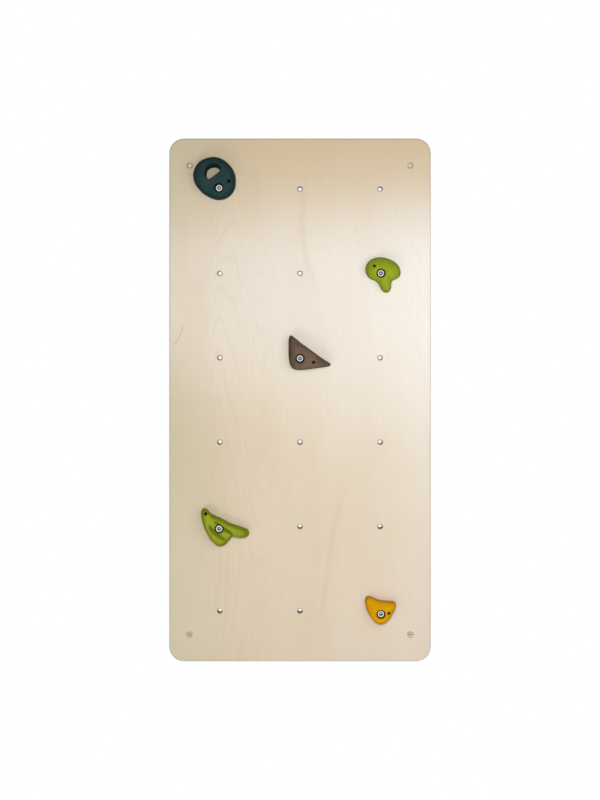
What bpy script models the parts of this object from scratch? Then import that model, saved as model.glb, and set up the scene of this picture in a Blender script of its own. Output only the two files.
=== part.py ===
"""A children's climbing wall: a birch panel with a grid of tee nuts and five bolt-on holds.

Metres, +Z up. The origin is the middle of the panel's back face, which lies flat on a wall towards +Y.
Each piece is drawn lying down, with X to the right, Y up the panel and Z out of the wall from the back
face, and one empty stands the whole drawing upright.
"""

import math

import bmesh
import bpy
from mathutils import Vector
from mathutils.geometry import interpolate_bezier, intersect_point_line

# Panel: one sheet of birch multiplex with round corners and eased edges.
PANEL_WIDTH = 0.620
PANEL_HEIGHT = 1.240
PANEL_THICKNESS = 0.018
CORNER_RADIUS = 0.035
EDGE_RADIUS = 0.004

# Grid of threaded places, the same margin from all four sides. Row 1 is the top row.
GRID_MARGIN = 0.120
COLUMN_NAMES = ("a", "b", "c")
ROW_NAMES = ("1", "2", "3", "4", "5", "6")

# Countersunk holes for the four wall screws.
SCREW_INSET_SIDE = 0.048
SCREW_INSET_END = 0.064
SCREW_HOLE = 0.0064
COUNTERSINK = 0.0140

# Pronged tee nuts, hammered in from the back.
THREAD = 0.010
NUT_WALL = 0.0011
NUT_SETBACK = 0.0042
NUT_RECESS = 0.0003
FLANGE_DIAMETER = 0.025
FLANGE_THICKNESS = 0.0018
PRONG_COUNT = 4
PRONG_LENGTH = 0.0080
PRONG_THICKNESS = 0.0020
PRONG_INSET = 0.0010
PRONG_TIP_SHARE = 0.40

# Socket head bolts and washers.
THREAD_GAP = 0.0003
BOLT_TIP_SETBACK = 0.0036
TIP_CHAMFER = 0.0010
HEAD_DIAMETER = 0.0160
HEAD_HEIGHT = 0.0100
HEAD_CHAMFER = 0.0008
HEX_KEY = 0.0080
HEX_DEPTH = 0.0055
WASHER_DIAMETER = 0.0180
WASHER_THICKNESS = 0.0020
WASHER_BORE_GAP = 0.0005

# What every hold has in common. Heights are measured from the panel's front face.
SEAT_HEIGHT = 0.0180
COUNTERBORE_GAP = 0.0016
BOLT_HOLE_GAP = 0.0008
PIN_HOLE = 0.0066

# Ring hold, with a half-moon finger pocket through it. Outlines run anticlockwise from the right, about
# the bolt's axis. The fullness is higher on a flatter top with steeper sides.
RING_HEIGHT = 0.0440
RING_RIM = 0.0080
RING_FULLNESS = 4.5
RING_MIDDLE = (-0.010, 0.024)
RING_PIN = (0.0232, 0.0152)
RING_OUTLINE = (
    (0.0355, -0.001), (0.038, 0.017), (0.036, 0.035), (0.026, 0.0535), (0.008, 0.069),
    (-0.012, 0.075), (-0.034, 0.071), (-0.052, 0.059), (-0.062, 0.037), (-0.059, 0.014),
    (-0.045, -0.0055), (-0.028, -0.0185), (-0.008, -0.026), (0.012, -0.0245), (0.027, -0.0145),
)
POCKET_AT_PANEL = (
    (0.0000, 0.0415), (-0.0035, 0.0475), (-0.0115, 0.0505), (-0.0215, 0.0485), (-0.029, 0.042),
    (-0.031, 0.033), (-0.029, 0.0245), (-0.0245, 0.0215), (-0.0125, 0.0300),
)
POCKET_AT_FRONT = (
    (0.0055, 0.043), (0.0025, 0.054), (-0.0085, 0.0615), (-0.022, 0.060), (-0.032, 0.0505),
    (-0.035, 0.037), (-0.032, 0.0245), (-0.0255, 0.0195), (-0.0105, 0.0285),
)

# Mushroom hold, a bean-shaped cap on a short stem. Its top follows two spines.
MUSHROOM_HEIGHT = 0.0370
MUSHROOM_STEM_HEIGHT = 0.0335
MUSHROOM_RIM = 0.0070
MUSHROOM_FULLNESS = 3.2
MUSHROOM_MIDDLE = (0.005, 0.002)
MUSHROOM_PIN = (-0.0155, 0.0170)
MUSHROOM_OUTLINE = (
    (0.0475, 0.000), (0.0455, 0.0125), (0.038, 0.0235), (0.025, 0.032), (0.010, 0.0368),
    (-0.003, 0.0382), (-0.016, 0.0352), (-0.0275, 0.0275), (-0.0345, 0.0155), (-0.0345, 0.003),
    (-0.0295, -0.008), (-0.0205, -0.0145), (-0.010, -0.0195), (-0.0033, -0.027),
    (0.0030, -0.039), (0.0080, -0.0440), (0.0145, -0.0460), (0.0210, -0.0430), (0.0250, -0.0345),
    (0.0252, -0.024), (0.0280, -0.0180), (0.035, -0.0142), (0.0435, -0.0095),
)
MUSHROOM_CAP_SPINE = ((-0.018, 0.012), (0.028, 0.008))
MUSHROOM_STEM_SPINE = ((0.010, 0.004), (0.0145, -0.036))
MUSHROOM_CAP_HALF_WIDTH = 0.030
MUSHROOM_STEM_HALF_WIDTH = 0.022
MUSHROOM_BLEND = 0.010

# Fin hold, a flat-topped triangle whose left flank slopes away.
FIN_HEIGHT = 0.0390
FIN_RIM = 0.0060
FIN_FULLNESS = 7.0
FIN_MIDDLE = (0.002, -0.003)
FIN_PIN = (0.0316, -0.0086)
FIN_FLANK_START = -0.0120
FIN_FLANK_SLOPE = 0.80
FIN_OUTLINE = (
    (0.0710, -0.0130), (0.0728, -0.0162), (0.0695, -0.0190), (0.039, -0.0240), (0.009, -0.0278),
    (-0.006, -0.0280), (-0.016, -0.0255), (-0.0222, -0.019), (-0.0252, -0.010), (-0.0268, 0.0026),
    (-0.0273, 0.020), (-0.0272, 0.038), (-0.0262, 0.0475), (-0.0230, 0.0530), (-0.0180, 0.0515),
    (-0.0085, 0.0443), (0.006, 0.0327), (0.020, 0.0227), (0.036, 0.011), (0.054, -0.0018),
)

# Leaf hold, which fans out from one tip into a long finger, a wedge at the bolt and a broad lobe. A groove
# parts each two of them. It starts at the hold's side and runs out towards the tip.
LEAF_HEIGHT = 0.0380
LEAF_RIM = 0.0060
LEAF_FULLNESS = 5.0
LEAF_MIDDLE = (-0.004, 0.000)
LEAF_PIN = (-0.0315, 0.0352)
LEAF_OUTLINE = (
    (0.070, -0.0140), (0.065, -0.0055), (0.056, -0.0015), (0.0435, 0.003), (0.024, 0.0095),
    (0.008, 0.0185), (-0.008, 0.0255), (-0.021, 0.0325), (-0.029, 0.0410), (-0.0368, 0.0447),
    (-0.0428, 0.0390), (-0.0430, 0.026), (-0.0395, 0.009), (-0.0315, -0.0110), (-0.020, -0.0298),
    (-0.010, -0.0395), (0.002, -0.0450), (0.0135, -0.0412), (0.0235, -0.0305), (0.0318, -0.0208),
    (0.042, -0.0230), (0.054, -0.0245), (0.0650, -0.0222),
)
LEAF_FINGER_GROOVE = (
    (0.035, -0.021), (0.024, -0.008), (0.0096, 0.001), (-0.006, 0.0138), (-0.0227, 0.0261),
)
LEAF_LOBE_GROOVE = (
    (0.022, -0.036), (0.0096, -0.024), (0.0004, -0.0175), (-0.0125, -0.0083),
    (-0.020, 0.001), (-0.029, 0.022),
)
LEAF_GROOVE_DEPTH = 0.0130
LEAF_GROOVE_HALF_WIDTH = 0.0058

# Wedge hold, a rounded triangle that points down. Its front falls away to the lower left, beyond a line
# and a round boss at the bolt.
WEDGE_HEIGHT = 0.0370
WEDGE_RIM = 0.0060
WEDGE_FULLNESS = 3.6
WEDGE_MIDDLE = (-0.001, 0.004)
WEDGE_PIN = (0.0185, 0.0024)
WEDGE_OUTLINE = (
    (0.0370, 0.0165), (0.0330, 0.0232), (0.0225, 0.0248), (0.009, 0.0255), (-0.003, 0.0275),
    (-0.013, 0.0310), (-0.0235, 0.0357), (-0.0315, 0.0357), (-0.0363, 0.0285), (-0.0353, 0.016),
    (-0.031, 0.001), (-0.0230, -0.0125), (-0.0132, -0.0238), (-0.001, -0.0292), (0.0110, -0.0265),
    (0.0200, -0.0180), (0.0280, -0.0065), (0.0340, 0.006),
)
WEDGE_FACET_WAY = (-0.77, -0.64)
WEDGE_FACET_START = -0.0035
WEDGE_FACET_SLOPE = 0.35
WEDGE_BOSS_RADIUS = 0.0145

# How far a ridge falls at its half width from its spine.
SPINE_FALL = 0.0060

# Gap between pieces that touch, how far cutters run past a face, and facets of round pieces.
FIT_GAP = 0.0003
CUT_PAST = 0.0050
NUT_SIDES = 12
ROUND_SIDES = 18
CORNER_STEPS = 6
EDGE_STEPS = 3
HOLD_FACET = 0.0052
HOLD_RINGS = 10
POCKET_FACETS = 2
SMOOTH_BELOW = math.radians(25)
HOLD_SMOOTH_BELOW = math.radians(55)

HOLDS = {
    "ring": {
        "cell": "a1", "outline": RING_OUTLINE, "middle": RING_MIDDLE, "rim": RING_RIM,
        "fullness": RING_FULLNESS, "pin": RING_PIN, "colour": (0.016, 0.040, 0.055),
    },
    "mushroom": {
        "cell": "c2", "outline": MUSHROOM_OUTLINE, "middle": MUSHROOM_MIDDLE, "rim": MUSHROOM_RIM,
        "fullness": MUSHROOM_FULLNESS, "pin": MUSHROOM_PIN, "colour": (0.27, 0.37, 0.012),
    },
    "fin": {
        "cell": "b3", "outline": FIN_OUTLINE, "middle": FIN_MIDDLE, "rim": FIN_RIM,
        "fullness": FIN_FULLNESS, "pin": FIN_PIN, "colour": (0.10, 0.065, 0.042),
    },
    "leaf": {
        "cell": "a5", "outline": LEAF_OUTLINE, "middle": LEAF_MIDDLE, "rim": LEAF_RIM,
        "fullness": LEAF_FULLNESS, "pin": LEAF_PIN, "colour": (0.31, 0.38, 0.012),
    },
    "wedge": {
        "cell": "c6", "outline": WEDGE_OUTLINE, "middle": WEDGE_MIDDLE, "rim": WEDGE_RIM,
        "fullness": WEDGE_FULLNESS, "pin": WEDGE_PIN, "colour": (0.72, 0.36, 0.008),
    },
}

COLUMN_PITCH = (PANEL_WIDTH - 2 * GRID_MARGIN) / (len(COLUMN_NAMES) - 1)
ROW_PITCH = (PANEL_HEIGHT - 2 * GRID_MARGIN) / (len(ROW_NAMES) - 1)
BARREL_DIAMETER = THREAD + 2 * NUT_WALL
BARREL_END = PANEL_THICKNESS - NUT_SETBACK
FLANGE_FRONT = NUT_RECESS + FLANGE_THICKNESS
HOLD_BASE = PANEL_THICKNESS + FIT_GAP
SEAT = PANEL_THICKNESS + SEAT_HEIGHT
WASHER_BACK = SEAT + FIT_GAP
HEAD_BACK = WASHER_BACK + WASHER_THICKNESS + FIT_GAP
HEAD_FRONT = HEAD_BACK + HEAD_HEIGHT
COUNTERBORE = max(WASHER_DIAMETER, HEAD_DIAMETER) + 2 * COUNTERBORE_GAP


def clear_scene():
    for obj in list(bpy.data.objects):
        bpy.data.objects.remove(obj)


def material(name, colour, roughness, metallic=0.0):
    made = bpy.data.materials.new(name)
    made.use_nodes = True
    shader = made.node_tree.nodes["Principled BSDF"]
    shader.inputs["Base Color"].default_value = (*colour, 1.0)
    shader.inputs["Roughness"].default_value = roughness
    shader.inputs["Metallic"].default_value = metallic
    return made


def loft(bm, rings, closed=False):
    """Skins rings of points into one solid. The ends are capped, or joined to each other if closed."""
    loops = [[bm.verts.new(point) for point in ring] for ring in rings]
    pairs = list(zip(loops, loops[1:]))
    if closed:
        pairs.append((loops[-1], loops[0]))
    else:
        bm.faces.new(loops[0])
    made = []
    for low, high in pairs:
        for i in range(len(low)):
            j = (i + 1) % len(low)
            if len(high) == 1:
                made.append(bm.faces.new((low[i], low[j], high[0])))
            else:
                made.append(bm.faces.new((low[i], low[j], high[j], high[i])))
    if not closed and len(loops[-1]) > 1:
        bm.faces.new(loops[-1])
    return made


def shade(mesh, smooth_below):
    mesh.shade_smooth()
    mesh.set_sharp_from_angle(angle=smooth_below)


def finished_mesh(bm, name, finish):
    bmesh.ops.recalc_face_normals(bm, faces=bm.faces)
    mesh = bpy.data.meshes.new(name)
    bm.to_mesh(mesh)
    bm.free()
    mesh.materials.append(finish)
    shade(mesh, SMOOTH_BELOW)
    return mesh


def place(name, mesh, wall, centre=(0.0, 0.0)):
    obj = bpy.data.objects.new(name, mesh)
    bpy.context.scene.collection.objects.link(obj)
    obj.parent = wall
    obj.location = (*centre, 0.0)
    return obj


def cut(obj, name, bm, finish, wall, centre=(0.0, 0.0)):
    """Takes the shape in bm out of obj, with a cutter that isn't rendered."""
    cutter = place(name, finished_mesh(bm, name, finish), wall, centre)
    cutter.hide_render = True
    cutter.display_type = "WIRE"
    boolean = obj.modifiers.new(name, "BOOLEAN")
    boolean.operation = "DIFFERENCE"
    boolean.solver = "EXACT"
    boolean.object = cutter


def apply_cuts(obj, smooth_below):
    """Makes the cuts part of the mesh, so that the edges they leave are shaded sharp."""
    graph = bpy.context.evaluated_depsgraph_get()
    mesh = bpy.data.meshes.new_from_object(obj.evaluated_get(graph))
    obj.modifiers.clear()
    obj.data = mesh
    shade(mesh, smooth_below)


def circle(diameter, height, sides, centre=(0.0, 0.0)):
    turns = [2 * math.pi * i / sides for i in range(sides)]
    radius = diameter / 2
    return [
        Vector((centre[0] + radius * math.cos(a), centre[1] + radius * math.sin(a), height))
        for a in turns
    ]


def hexagon(across_flats, height, sides):
    """A hexagon with as many points as a circle of that many sides, so that the two can be skinned."""
    points = []
    for i in range(sides):
        turn = 2 * math.pi * i / sides
        from_flat = (turn % (math.pi / 3)) - math.pi / 6
        reach = across_flats / 2 / math.cos(from_flat)
        points.append(Vector((reach * math.cos(turn), reach * math.sin(turn), height)))
    return points


def rounded_rectangle(width, height, radius, level):
    points = []
    for quarter in range(4):
        side_x = 1 if quarter in (0, 3) else -1
        side_y = 1 if quarter in (0, 1) else -1
        corner_x = side_x * (width / 2 - radius)
        corner_y = side_y * (height / 2 - radius)
        for step in range(CORNER_STEPS + 1):
            turn = math.pi / 2 * (quarter + step / CORNER_STEPS)
            points.append(
                Vector((corner_x + radius * math.cos(turn), corner_y + radius * math.sin(turn), level))
            )
    return points


def smooth_outline(corners, facets=None):
    """A closed smooth curve through the corners, with this many facets a span or else even ones."""
    corners = [Vector((x, y, 0.0)) for x, y in corners]
    count = len(corners)
    tangents = [(corners[(i + 1) % count] - corners[i - 1]).normalized() for i in range(count)]
    points = []
    for i, start in enumerate(corners):
        end = corners[(i + 1) % count]
        span = (end - start).length
        leave = start + tangents[i] * span / 3
        arrive = end - tangents[(i + 1) % count] * span / 3
        steps = facets or math.ceil(span / HOLD_FACET)
        points += interpolate_bezier(start, leave, arrive, end, steps + 1)[:-1]
    return points


def grid_place(cell):
    """Where a cell such as a1 lies on the panel."""
    column = COLUMN_NAMES.index(cell[0])
    row = ROW_NAMES.index(cell[1])
    x = (column - (len(COLUMN_NAMES) - 1) / 2) * COLUMN_PITCH
    y = ((len(ROW_NAMES) - 1) / 2 - row) * ROW_PITCH
    return x, y


GRID = tuple(column + row for column in COLUMN_NAMES for row in ROW_NAMES)


def prong_corners(turn, gap):
    """The four corners of a prong's foot at this turn, drawn larger by the gap."""
    half = math.pi / NUT_SIDES
    outer = FLANGE_DIAMETER / 2 - PRONG_INSET
    along = Vector((-math.sin(turn), math.cos(turn)))
    corners = []
    for radius, side in (
        (outer - PRONG_THICKNESS - gap, -1), (outer + gap, -1),
        (outer + gap, 1), (outer - PRONG_THICKNESS - gap, 1),
    ):
        edge = turn + side * half
        corners.append(Vector((math.cos(edge), math.sin(edge))) * radius + along * side * gap)
    return corners


def prong_turns():
    """The middles of the flange's facets that carry a prong."""
    facet = 2 * math.pi / NUT_SIDES
    return [facet * (i + 0.5) for i in range(0, NUT_SIDES, NUT_SIDES // PRONG_COUNT)]


def panel_edge():
    return min(EDGE_RADIUS, PANEL_THICKNESS / 2 - FIT_GAP)


def panel_rings():
    """Outlines from the back face to the front face, drawn in along both rounded edges."""
    edge = panel_edge()
    back = []
    for step in range(EDGE_STEPS + 1):
        turn = math.pi / 2 * step / EDGE_STEPS
        back.append((edge * (1 - math.sin(turn)), edge * (1 - math.cos(turn))))
    front = [(inset, PANEL_THICKNESS - level) for inset, level in reversed(back)]
    return [
        rounded_rectangle(
            PANEL_WIDTH - 2 * inset, PANEL_HEIGHT - 2 * inset, CORNER_RADIUS - inset, level
        )
        for inset, level in back + front
    ]


def screw_places():
    x = PANEL_WIDTH / 2 - SCREW_INSET_SIDE
    y = PANEL_HEIGHT / 2 - SCREW_INSET_END
    return [(x, y), (-x, y), (-x, -y), (x, -y)]


def make_panel(wall, finish):
    bm = bmesh.new()
    loft(bm, panel_rings())
    panel = place("panel", finished_mesh(bm, "panel", finish), wall)

    seats = bmesh.new()
    pockets = bmesh.new()
    flange_floor = FLANGE_FRONT + FIT_GAP
    for cell in GRID:
        x, y = grid_place(cell)
        loft(seats, [
            circle(FLANGE_DIAMETER + 2 * FIT_GAP, -CUT_PAST, NUT_SIDES, (x, y)),
            circle(FLANGE_DIAMETER + 2 * FIT_GAP, flange_floor, NUT_SIDES, (x, y)),
            circle(BARREL_DIAMETER + 2 * FIT_GAP, flange_floor, NUT_SIDES, (x, y)),
            circle(BARREL_DIAMETER + 2 * FIT_GAP, PANEL_THICKNESS + CUT_PAST, NUT_SIDES, (x, y)),
        ])
        for turn in prong_turns():
            foot = [corner + Vector((x, y)) for corner in prong_corners(turn, FIT_GAP)]
            depth = FLANGE_FRONT + PRONG_LENGTH + FIT_GAP
            loft(pockets, [[(*corner, level) for corner in foot] for level in (NUT_RECESS, depth)])
    cut(panel, "nut_seats", seats, finish, wall)
    cut(panel, "prong_pockets", pockets, finish, wall)

    holes = bmesh.new()
    sink_depth = (COUNTERSINK - SCREW_HOLE) / 2
    for spot in screw_places():
        loft(holes, [
            circle(SCREW_HOLE, -CUT_PAST, NUT_SIDES, spot),
            circle(SCREW_HOLE, PANEL_THICKNESS - sink_depth, NUT_SIDES, spot),
            circle(COUNTERSINK, PANEL_THICKNESS, NUT_SIDES, spot),
            circle(COUNTERSINK + 2 * CUT_PAST, PANEL_THICKNESS + CUT_PAST, NUT_SIDES, spot),
        ])
    cut(panel, "screw_holes", holes, finish, wall)
    apply_cuts(panel, SMOOTH_BELOW)


def tee_nut_mesh(finish):
    """A threaded barrel on a flange, with prongs drawn up from the flange's front."""
    prong_outer = FLANGE_DIAMETER - 2 * PRONG_INSET
    profile = (
        (THREAD, NUT_RECESS), (THREAD, BARREL_END), (BARREL_DIAMETER, BARREL_END),
        (BARREL_DIAMETER, FLANGE_FRONT), (prong_outer - 2 * PRONG_THICKNESS, FLANGE_FRONT),
        (prong_outer, FLANGE_FRONT), (FLANGE_DIAMETER, FLANGE_FRONT), (FLANGE_DIAMETER, NUT_RECESS),
    )
    bm = bmesh.new()
    faces = loft(bm, [circle(size, level, NUT_SIDES) for size, level in profile], closed=True)
    prong_ring = faces[4 * NUT_SIDES:5 * NUT_SIDES]
    feet = prong_ring[::NUT_SIDES // PRONG_COUNT]
    tips = bmesh.ops.extrude_discrete_faces(bm, faces=feet)["faces"]
    for tip in tips:
        middle = tip.calc_center_median()
        for vert in tip.verts:
            vert.co = middle.lerp(vert.co, PRONG_TIP_SHARE) + Vector((0.0, 0.0, PRONG_LENGTH))
    return finished_mesh(bm, "tee_nut", finish)


def washer_mesh(finish):
    bore = THREAD + 2 * WASHER_BORE_GAP
    front = WASHER_BACK + WASHER_THICKNESS
    profile = ((bore, WASHER_BACK), (bore, front), (WASHER_DIAMETER, front), (WASHER_DIAMETER, WASHER_BACK))
    bm = bmesh.new()
    loft(bm, [circle(size, level, ROUND_SIDES) for size, level in profile], closed=True)
    return finished_mesh(bm, "washer", finish)


def bolt_mesh(finish):
    """A bolt whose tip stops short of the panel's back, with a hexagon socket in its head."""
    shank = THREAD - 2 * THREAD_GAP
    tip = BOLT_TIP_SETBACK
    rings = [
        circle(shank - 2 * TIP_CHAMFER, tip, ROUND_SIDES),
        circle(shank, tip + TIP_CHAMFER, ROUND_SIDES),
        circle(shank, HEAD_BACK, ROUND_SIDES),
        circle(HEAD_DIAMETER, HEAD_BACK, ROUND_SIDES),
        circle(HEAD_DIAMETER, HEAD_FRONT - HEAD_CHAMFER, ROUND_SIDES),
        circle(HEAD_DIAMETER - 2 * HEAD_CHAMFER, HEAD_FRONT, ROUND_SIDES),
        hexagon(HEX_KEY, HEAD_FRONT, ROUND_SIDES),
        hexagon(HEX_KEY, HEAD_FRONT - HEX_DEPTH, ROUND_SIDES),
    ]
    bm = bmesh.new()
    loft(bm, rings)
    return finished_mesh(bm, "bolt", finish)


def spine_height(x, y, spine, top, half_width):
    """The height of a rounded ridge that runs along a spine."""
    spot = Vector((x, y))
    nearest = None
    for start, end in zip(spine, spine[1:]):
        start, end = Vector(start), Vector(end)
        _, share = intersect_point_line(spot, start, end)
        away = (spot - start.lerp(end, min(max(share, 0.0), 1.0))).length
        nearest = away if nearest is None else min(nearest, away)
    return top - SPINE_FALL * (nearest / half_width) ** 2


def soft_max(first, second, blend):
    """The higher of two heights, with the crease between them rounded over the blend."""
    near = max(blend - abs(first - second), 0.0) / blend
    return max(first, second) + near * near * blend / 4


def ring_top(x, y):
    return RING_HEIGHT


def mushroom_top(x, y):
    cap = spine_height(x, y, MUSHROOM_CAP_SPINE, MUSHROOM_HEIGHT, MUSHROOM_CAP_HALF_WIDTH)
    stem = spine_height(x, y, MUSHROOM_STEM_SPINE, MUSHROOM_STEM_HEIGHT, MUSHROOM_STEM_HALF_WIDTH)
    return soft_max(cap, stem, MUSHROOM_BLEND)


def fin_top(x, y):
    """A flat top whose left flank slopes down."""
    return FIN_HEIGHT - FIN_FLANK_SLOPE * max(FIN_FLANK_START - x, 0.0)


def leaf_top(x, y):
    return LEAF_HEIGHT


def wedge_top(x, y):
    """Flat, with a facet that falls away to the lower left of the bolt's boss."""
    past_line = x * WEDGE_FACET_WAY[0] + y * WEDGE_FACET_WAY[1] - WEDGE_FACET_START
    past_boss = math.hypot(x, y) - WEDGE_BOSS_RADIUS
    return WEDGE_HEIGHT - WEDGE_FACET_SLOPE * max(min(past_line, past_boss), 0.0)


TOPS = {
    "ring": ring_top, "mushroom": mushroom_top, "fin": fin_top, "leaf": leaf_top, "wedge": wedge_top,
}


def hold_rings(hold, top):
    """An upright rim on the panel, then rings that round over to the top."""
    middle = Vector((*hold["middle"], 0.0))
    outline = smooth_outline(hold["outline"])
    rings = [
        [(point.x, point.y, level) for point in outline]
        for level in (HOLD_BASE, PANEL_THICKNESS + hold["rim"])
    ]
    for step in range(1, HOLD_RINGS + 2):
        turn = math.pi / 2 * step / (HOLD_RINGS + 1)
        last = step > HOLD_RINGS
        reach = 0.0 if last else math.cos(turn) ** (2 / hold["fullness"])
        ring = []
        for point in outline[:1] if last else outline:
            spot = middle.lerp(point, reach)
            rise = (top(spot.x, spot.y) - hold["rim"]) * math.sin(turn)
            ring.append((spot.x, spot.y, PANEL_THICKNESS + hold["rim"] + rise))
        rings.append(ring)
    return rings


def make_hold(name, hold, wall):
    finish = material(name + "_resin", hold["colour"], 0.75)
    centre = grid_place(hold["cell"])
    bm = bmesh.new()
    top = TOPS[name]
    loft(bm, hold_rings(hold, top))
    body = place(name + "_hold", finished_mesh(bm, name + "_hold", finish), wall, centre)
    above = max(SEAT + CUT_PAST, PANEL_THICKNESS + top(*hold["middle"])) + CUT_PAST

    way = bmesh.new()
    bolt_hole = THREAD + 2 * BOLT_HOLE_GAP
    loft(way, [
        circle(bolt_hole, HOLD_BASE - CUT_PAST, ROUND_SIDES),
        circle(bolt_hole, SEAT, ROUND_SIDES),
        circle(COUNTERBORE, SEAT, ROUND_SIDES),
        circle(COUNTERBORE, above, ROUND_SIDES),
    ])
    cut(body, name + "_bolt_way", way, finish, wall, centre)

    pin = bmesh.new()
    loft(pin, [
        circle(PIN_HOLE, HOLD_BASE - CUT_PAST, NUT_SIDES, hold["pin"]),
        circle(PIN_HOLE, above, NUT_SIDES, hold["pin"]),
    ])
    cut(body, name + "_pin_hole", pin, finish, wall, centre)
    return body, finish


def make_finger_pocket(ring, finish, wall):
    """The half-moon through the ring hold, wider at the front than on the panel."""
    back = smooth_outline(POCKET_AT_PANEL, POCKET_FACETS)
    front = smooth_outline(POCKET_AT_FRONT, POCKET_FACETS)
    levels = (HOLD_BASE - CUT_PAST, HOLD_BASE + RING_RIM, PANEL_THICKNESS + RING_HEIGHT + CUT_PAST)
    bm = bmesh.new()
    loft(bm, [
        [(point.x, point.y, level) for point in outline]
        for outline, level in zip((back, back, front), levels)
    ])
    cut(ring, "ring_finger_pocket", bm, finish, wall, grid_place(HOLDS["ring"]["cell"]))


def make_leaf_grooves(leaf, finish, wall):
    """Cuts a V along each groove's route, as deep all the way but for the end that runs out."""
    top = PANEL_THICKNESS + LEAF_HEIGHT
    above = top + CUT_PAST
    spread = LEAF_GROOVE_HALF_WIDTH * (1 + CUT_PAST / LEAF_GROOVE_DEPTH)
    bm = bmesh.new()
    for route in (LEAF_FINGER_GROOVE, LEAF_LOBE_GROOVE):
        spots = [Vector(spot) for spot in route]
        rings = []
        for i, spot in enumerate(spots[:-1]):
            along = (spots[i + 1] - spots[max(i - 1, 0)]).normalized()
            side = Vector((-along.y, along.x)) * spread
            rings.append([(*(spot + side), above), (*spot, top - LEAF_GROOVE_DEPTH), (*(spot - side), above)])
        rings.append([(*spots[-1], above)])
        loft(bm, rings)
    cut(leaf, "leaf_grooves", bm, finish, wall, grid_place(HOLDS["leaf"]["cell"]))


def main():
    clear_scene()
    wall = bpy.data.objects.new("wall_frame", None)
    bpy.context.scene.collection.objects.link(wall)
    wall.rotation_euler = (math.pi / 2, 0.0, 0.0)

    birch = material("birch_multiplex", (0.72, 0.60, 0.44), 0.55)
    steel = material("zinc_plated_steel", (0.62, 0.62, 0.60), 0.32, 1.0)
    black = material("black_oxide_steel", (0.035, 0.035, 0.037), 0.45, 1.0)

    make_panel(wall, birch)
    tee_nut = tee_nut_mesh(steel)
    for cell in GRID:
        place("tee_nut_" + cell, tee_nut, wall, grid_place(cell))

    bolt = bolt_mesh(steel)
    washer = washer_mesh(black)
    for name, hold in HOLDS.items():
        body, finish = make_hold(name, hold, wall)
        if name == "ring":
            make_finger_pocket(body, finish, wall)
        if name == "leaf":
            make_leaf_grooves(body, finish, wall)
        apply_cuts(body, HOLD_SMOOTH_BELOW)
        centre = grid_place(hold["cell"])
        place(name + "_bolt", bolt, wall, centre)
        place(name + "_washer", washer, wall, centre)


main()
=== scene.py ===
# %% [markdown]
# # A climbing wall for children
#
# The real object is one sheet of birch multiplex with round corners and a grid of eighteen threaded places.
# Five moulded resin holds are bolted to it, and the free places show the steel nuts behind them. The shapes
# that move are already packed as solids. This lesson dresses them: it builds a finer piece for every solid,
# gives each one a finish made of nodes, and lights the wall as a shop photograph does.

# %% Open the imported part
import math

import bmesh
import bpy
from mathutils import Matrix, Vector
from mathutils.geometry import interpolate_bezier, intersect_point_line


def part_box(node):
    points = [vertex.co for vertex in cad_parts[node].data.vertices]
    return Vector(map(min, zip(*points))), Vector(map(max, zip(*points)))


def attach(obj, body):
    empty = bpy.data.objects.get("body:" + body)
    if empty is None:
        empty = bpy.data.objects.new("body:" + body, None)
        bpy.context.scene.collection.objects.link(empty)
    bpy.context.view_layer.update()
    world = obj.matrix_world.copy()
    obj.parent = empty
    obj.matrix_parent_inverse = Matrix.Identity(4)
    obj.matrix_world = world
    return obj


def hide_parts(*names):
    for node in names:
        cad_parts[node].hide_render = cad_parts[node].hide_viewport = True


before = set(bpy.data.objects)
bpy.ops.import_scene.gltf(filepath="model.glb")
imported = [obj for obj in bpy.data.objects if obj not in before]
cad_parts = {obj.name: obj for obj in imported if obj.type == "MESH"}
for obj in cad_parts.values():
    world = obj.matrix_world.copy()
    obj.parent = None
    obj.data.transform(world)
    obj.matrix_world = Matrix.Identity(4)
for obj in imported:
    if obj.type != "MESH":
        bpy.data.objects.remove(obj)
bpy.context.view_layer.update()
panel_low, panel_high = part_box("panel")
PANEL_WIDTH = panel_high.x - panel_low.x
PANEL_HEIGHT = panel_high.z - panel_low.z
PANEL_THICKNESS = panel_high.y - panel_low.y
print(len(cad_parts), "solids")
print(f"panel {PANEL_WIDTH:.3f} x {PANEL_HEIGHT:.3f} x {PANEL_THICKNESS:.3f} m")

# %% [markdown]
# ## The camera
#
# The photograph shows the panel as a true rectangle, so the camera looks straight at it. It stood a little
# above the middle, because the lower holds show their upper sides. A tilted camera would make the sides
# of the panel run together, so the lens is shifted down instead, as with a view camera.

# %% Camera
EYE_DISTANCE = 3.2
EYE_HEIGHT = 0.25
VIEW_HEIGHT = 1.896
SENSOR = 36.0

scene = bpy.context.scene
scene.view_settings.view_transform = "Standard"
camera = bpy.data.objects.new("camera", bpy.data.cameras.new("camera"))
scene.collection.objects.link(camera)
scene.camera = camera
camera.data.sensor_fit = "VERTICAL"
camera.data.sensor_width = SENSOR
camera.data.sensor_height = SENSOR
camera.data.lens = SENSOR * EYE_DISTANCE / VIEW_HEIGHT
camera.data.shift_y = -EYE_HEIGHT / VIEW_HEIGHT
camera.location = (0.0, panel_low.y - EYE_DISTANCE, EYE_HEIGHT)
camera.rotation_euler = (math.pi / 2, 0.0, 0.0)
print(f"lens {camera.data.lens:.1f} mm, shift {camera.data.shift_y:.3f}")

# %% [markdown]
# ## Sums on sockets
#
# A finish made of nodes is mostly arithmetic. Drawing it by hand takes a node for every sum, and the wires
# soon hide what is meant. This small class wraps a node's output, so that Python's own signs add the Math
# nodes. Everything that isn't arithmetic comes from its one method `node`.


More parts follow.
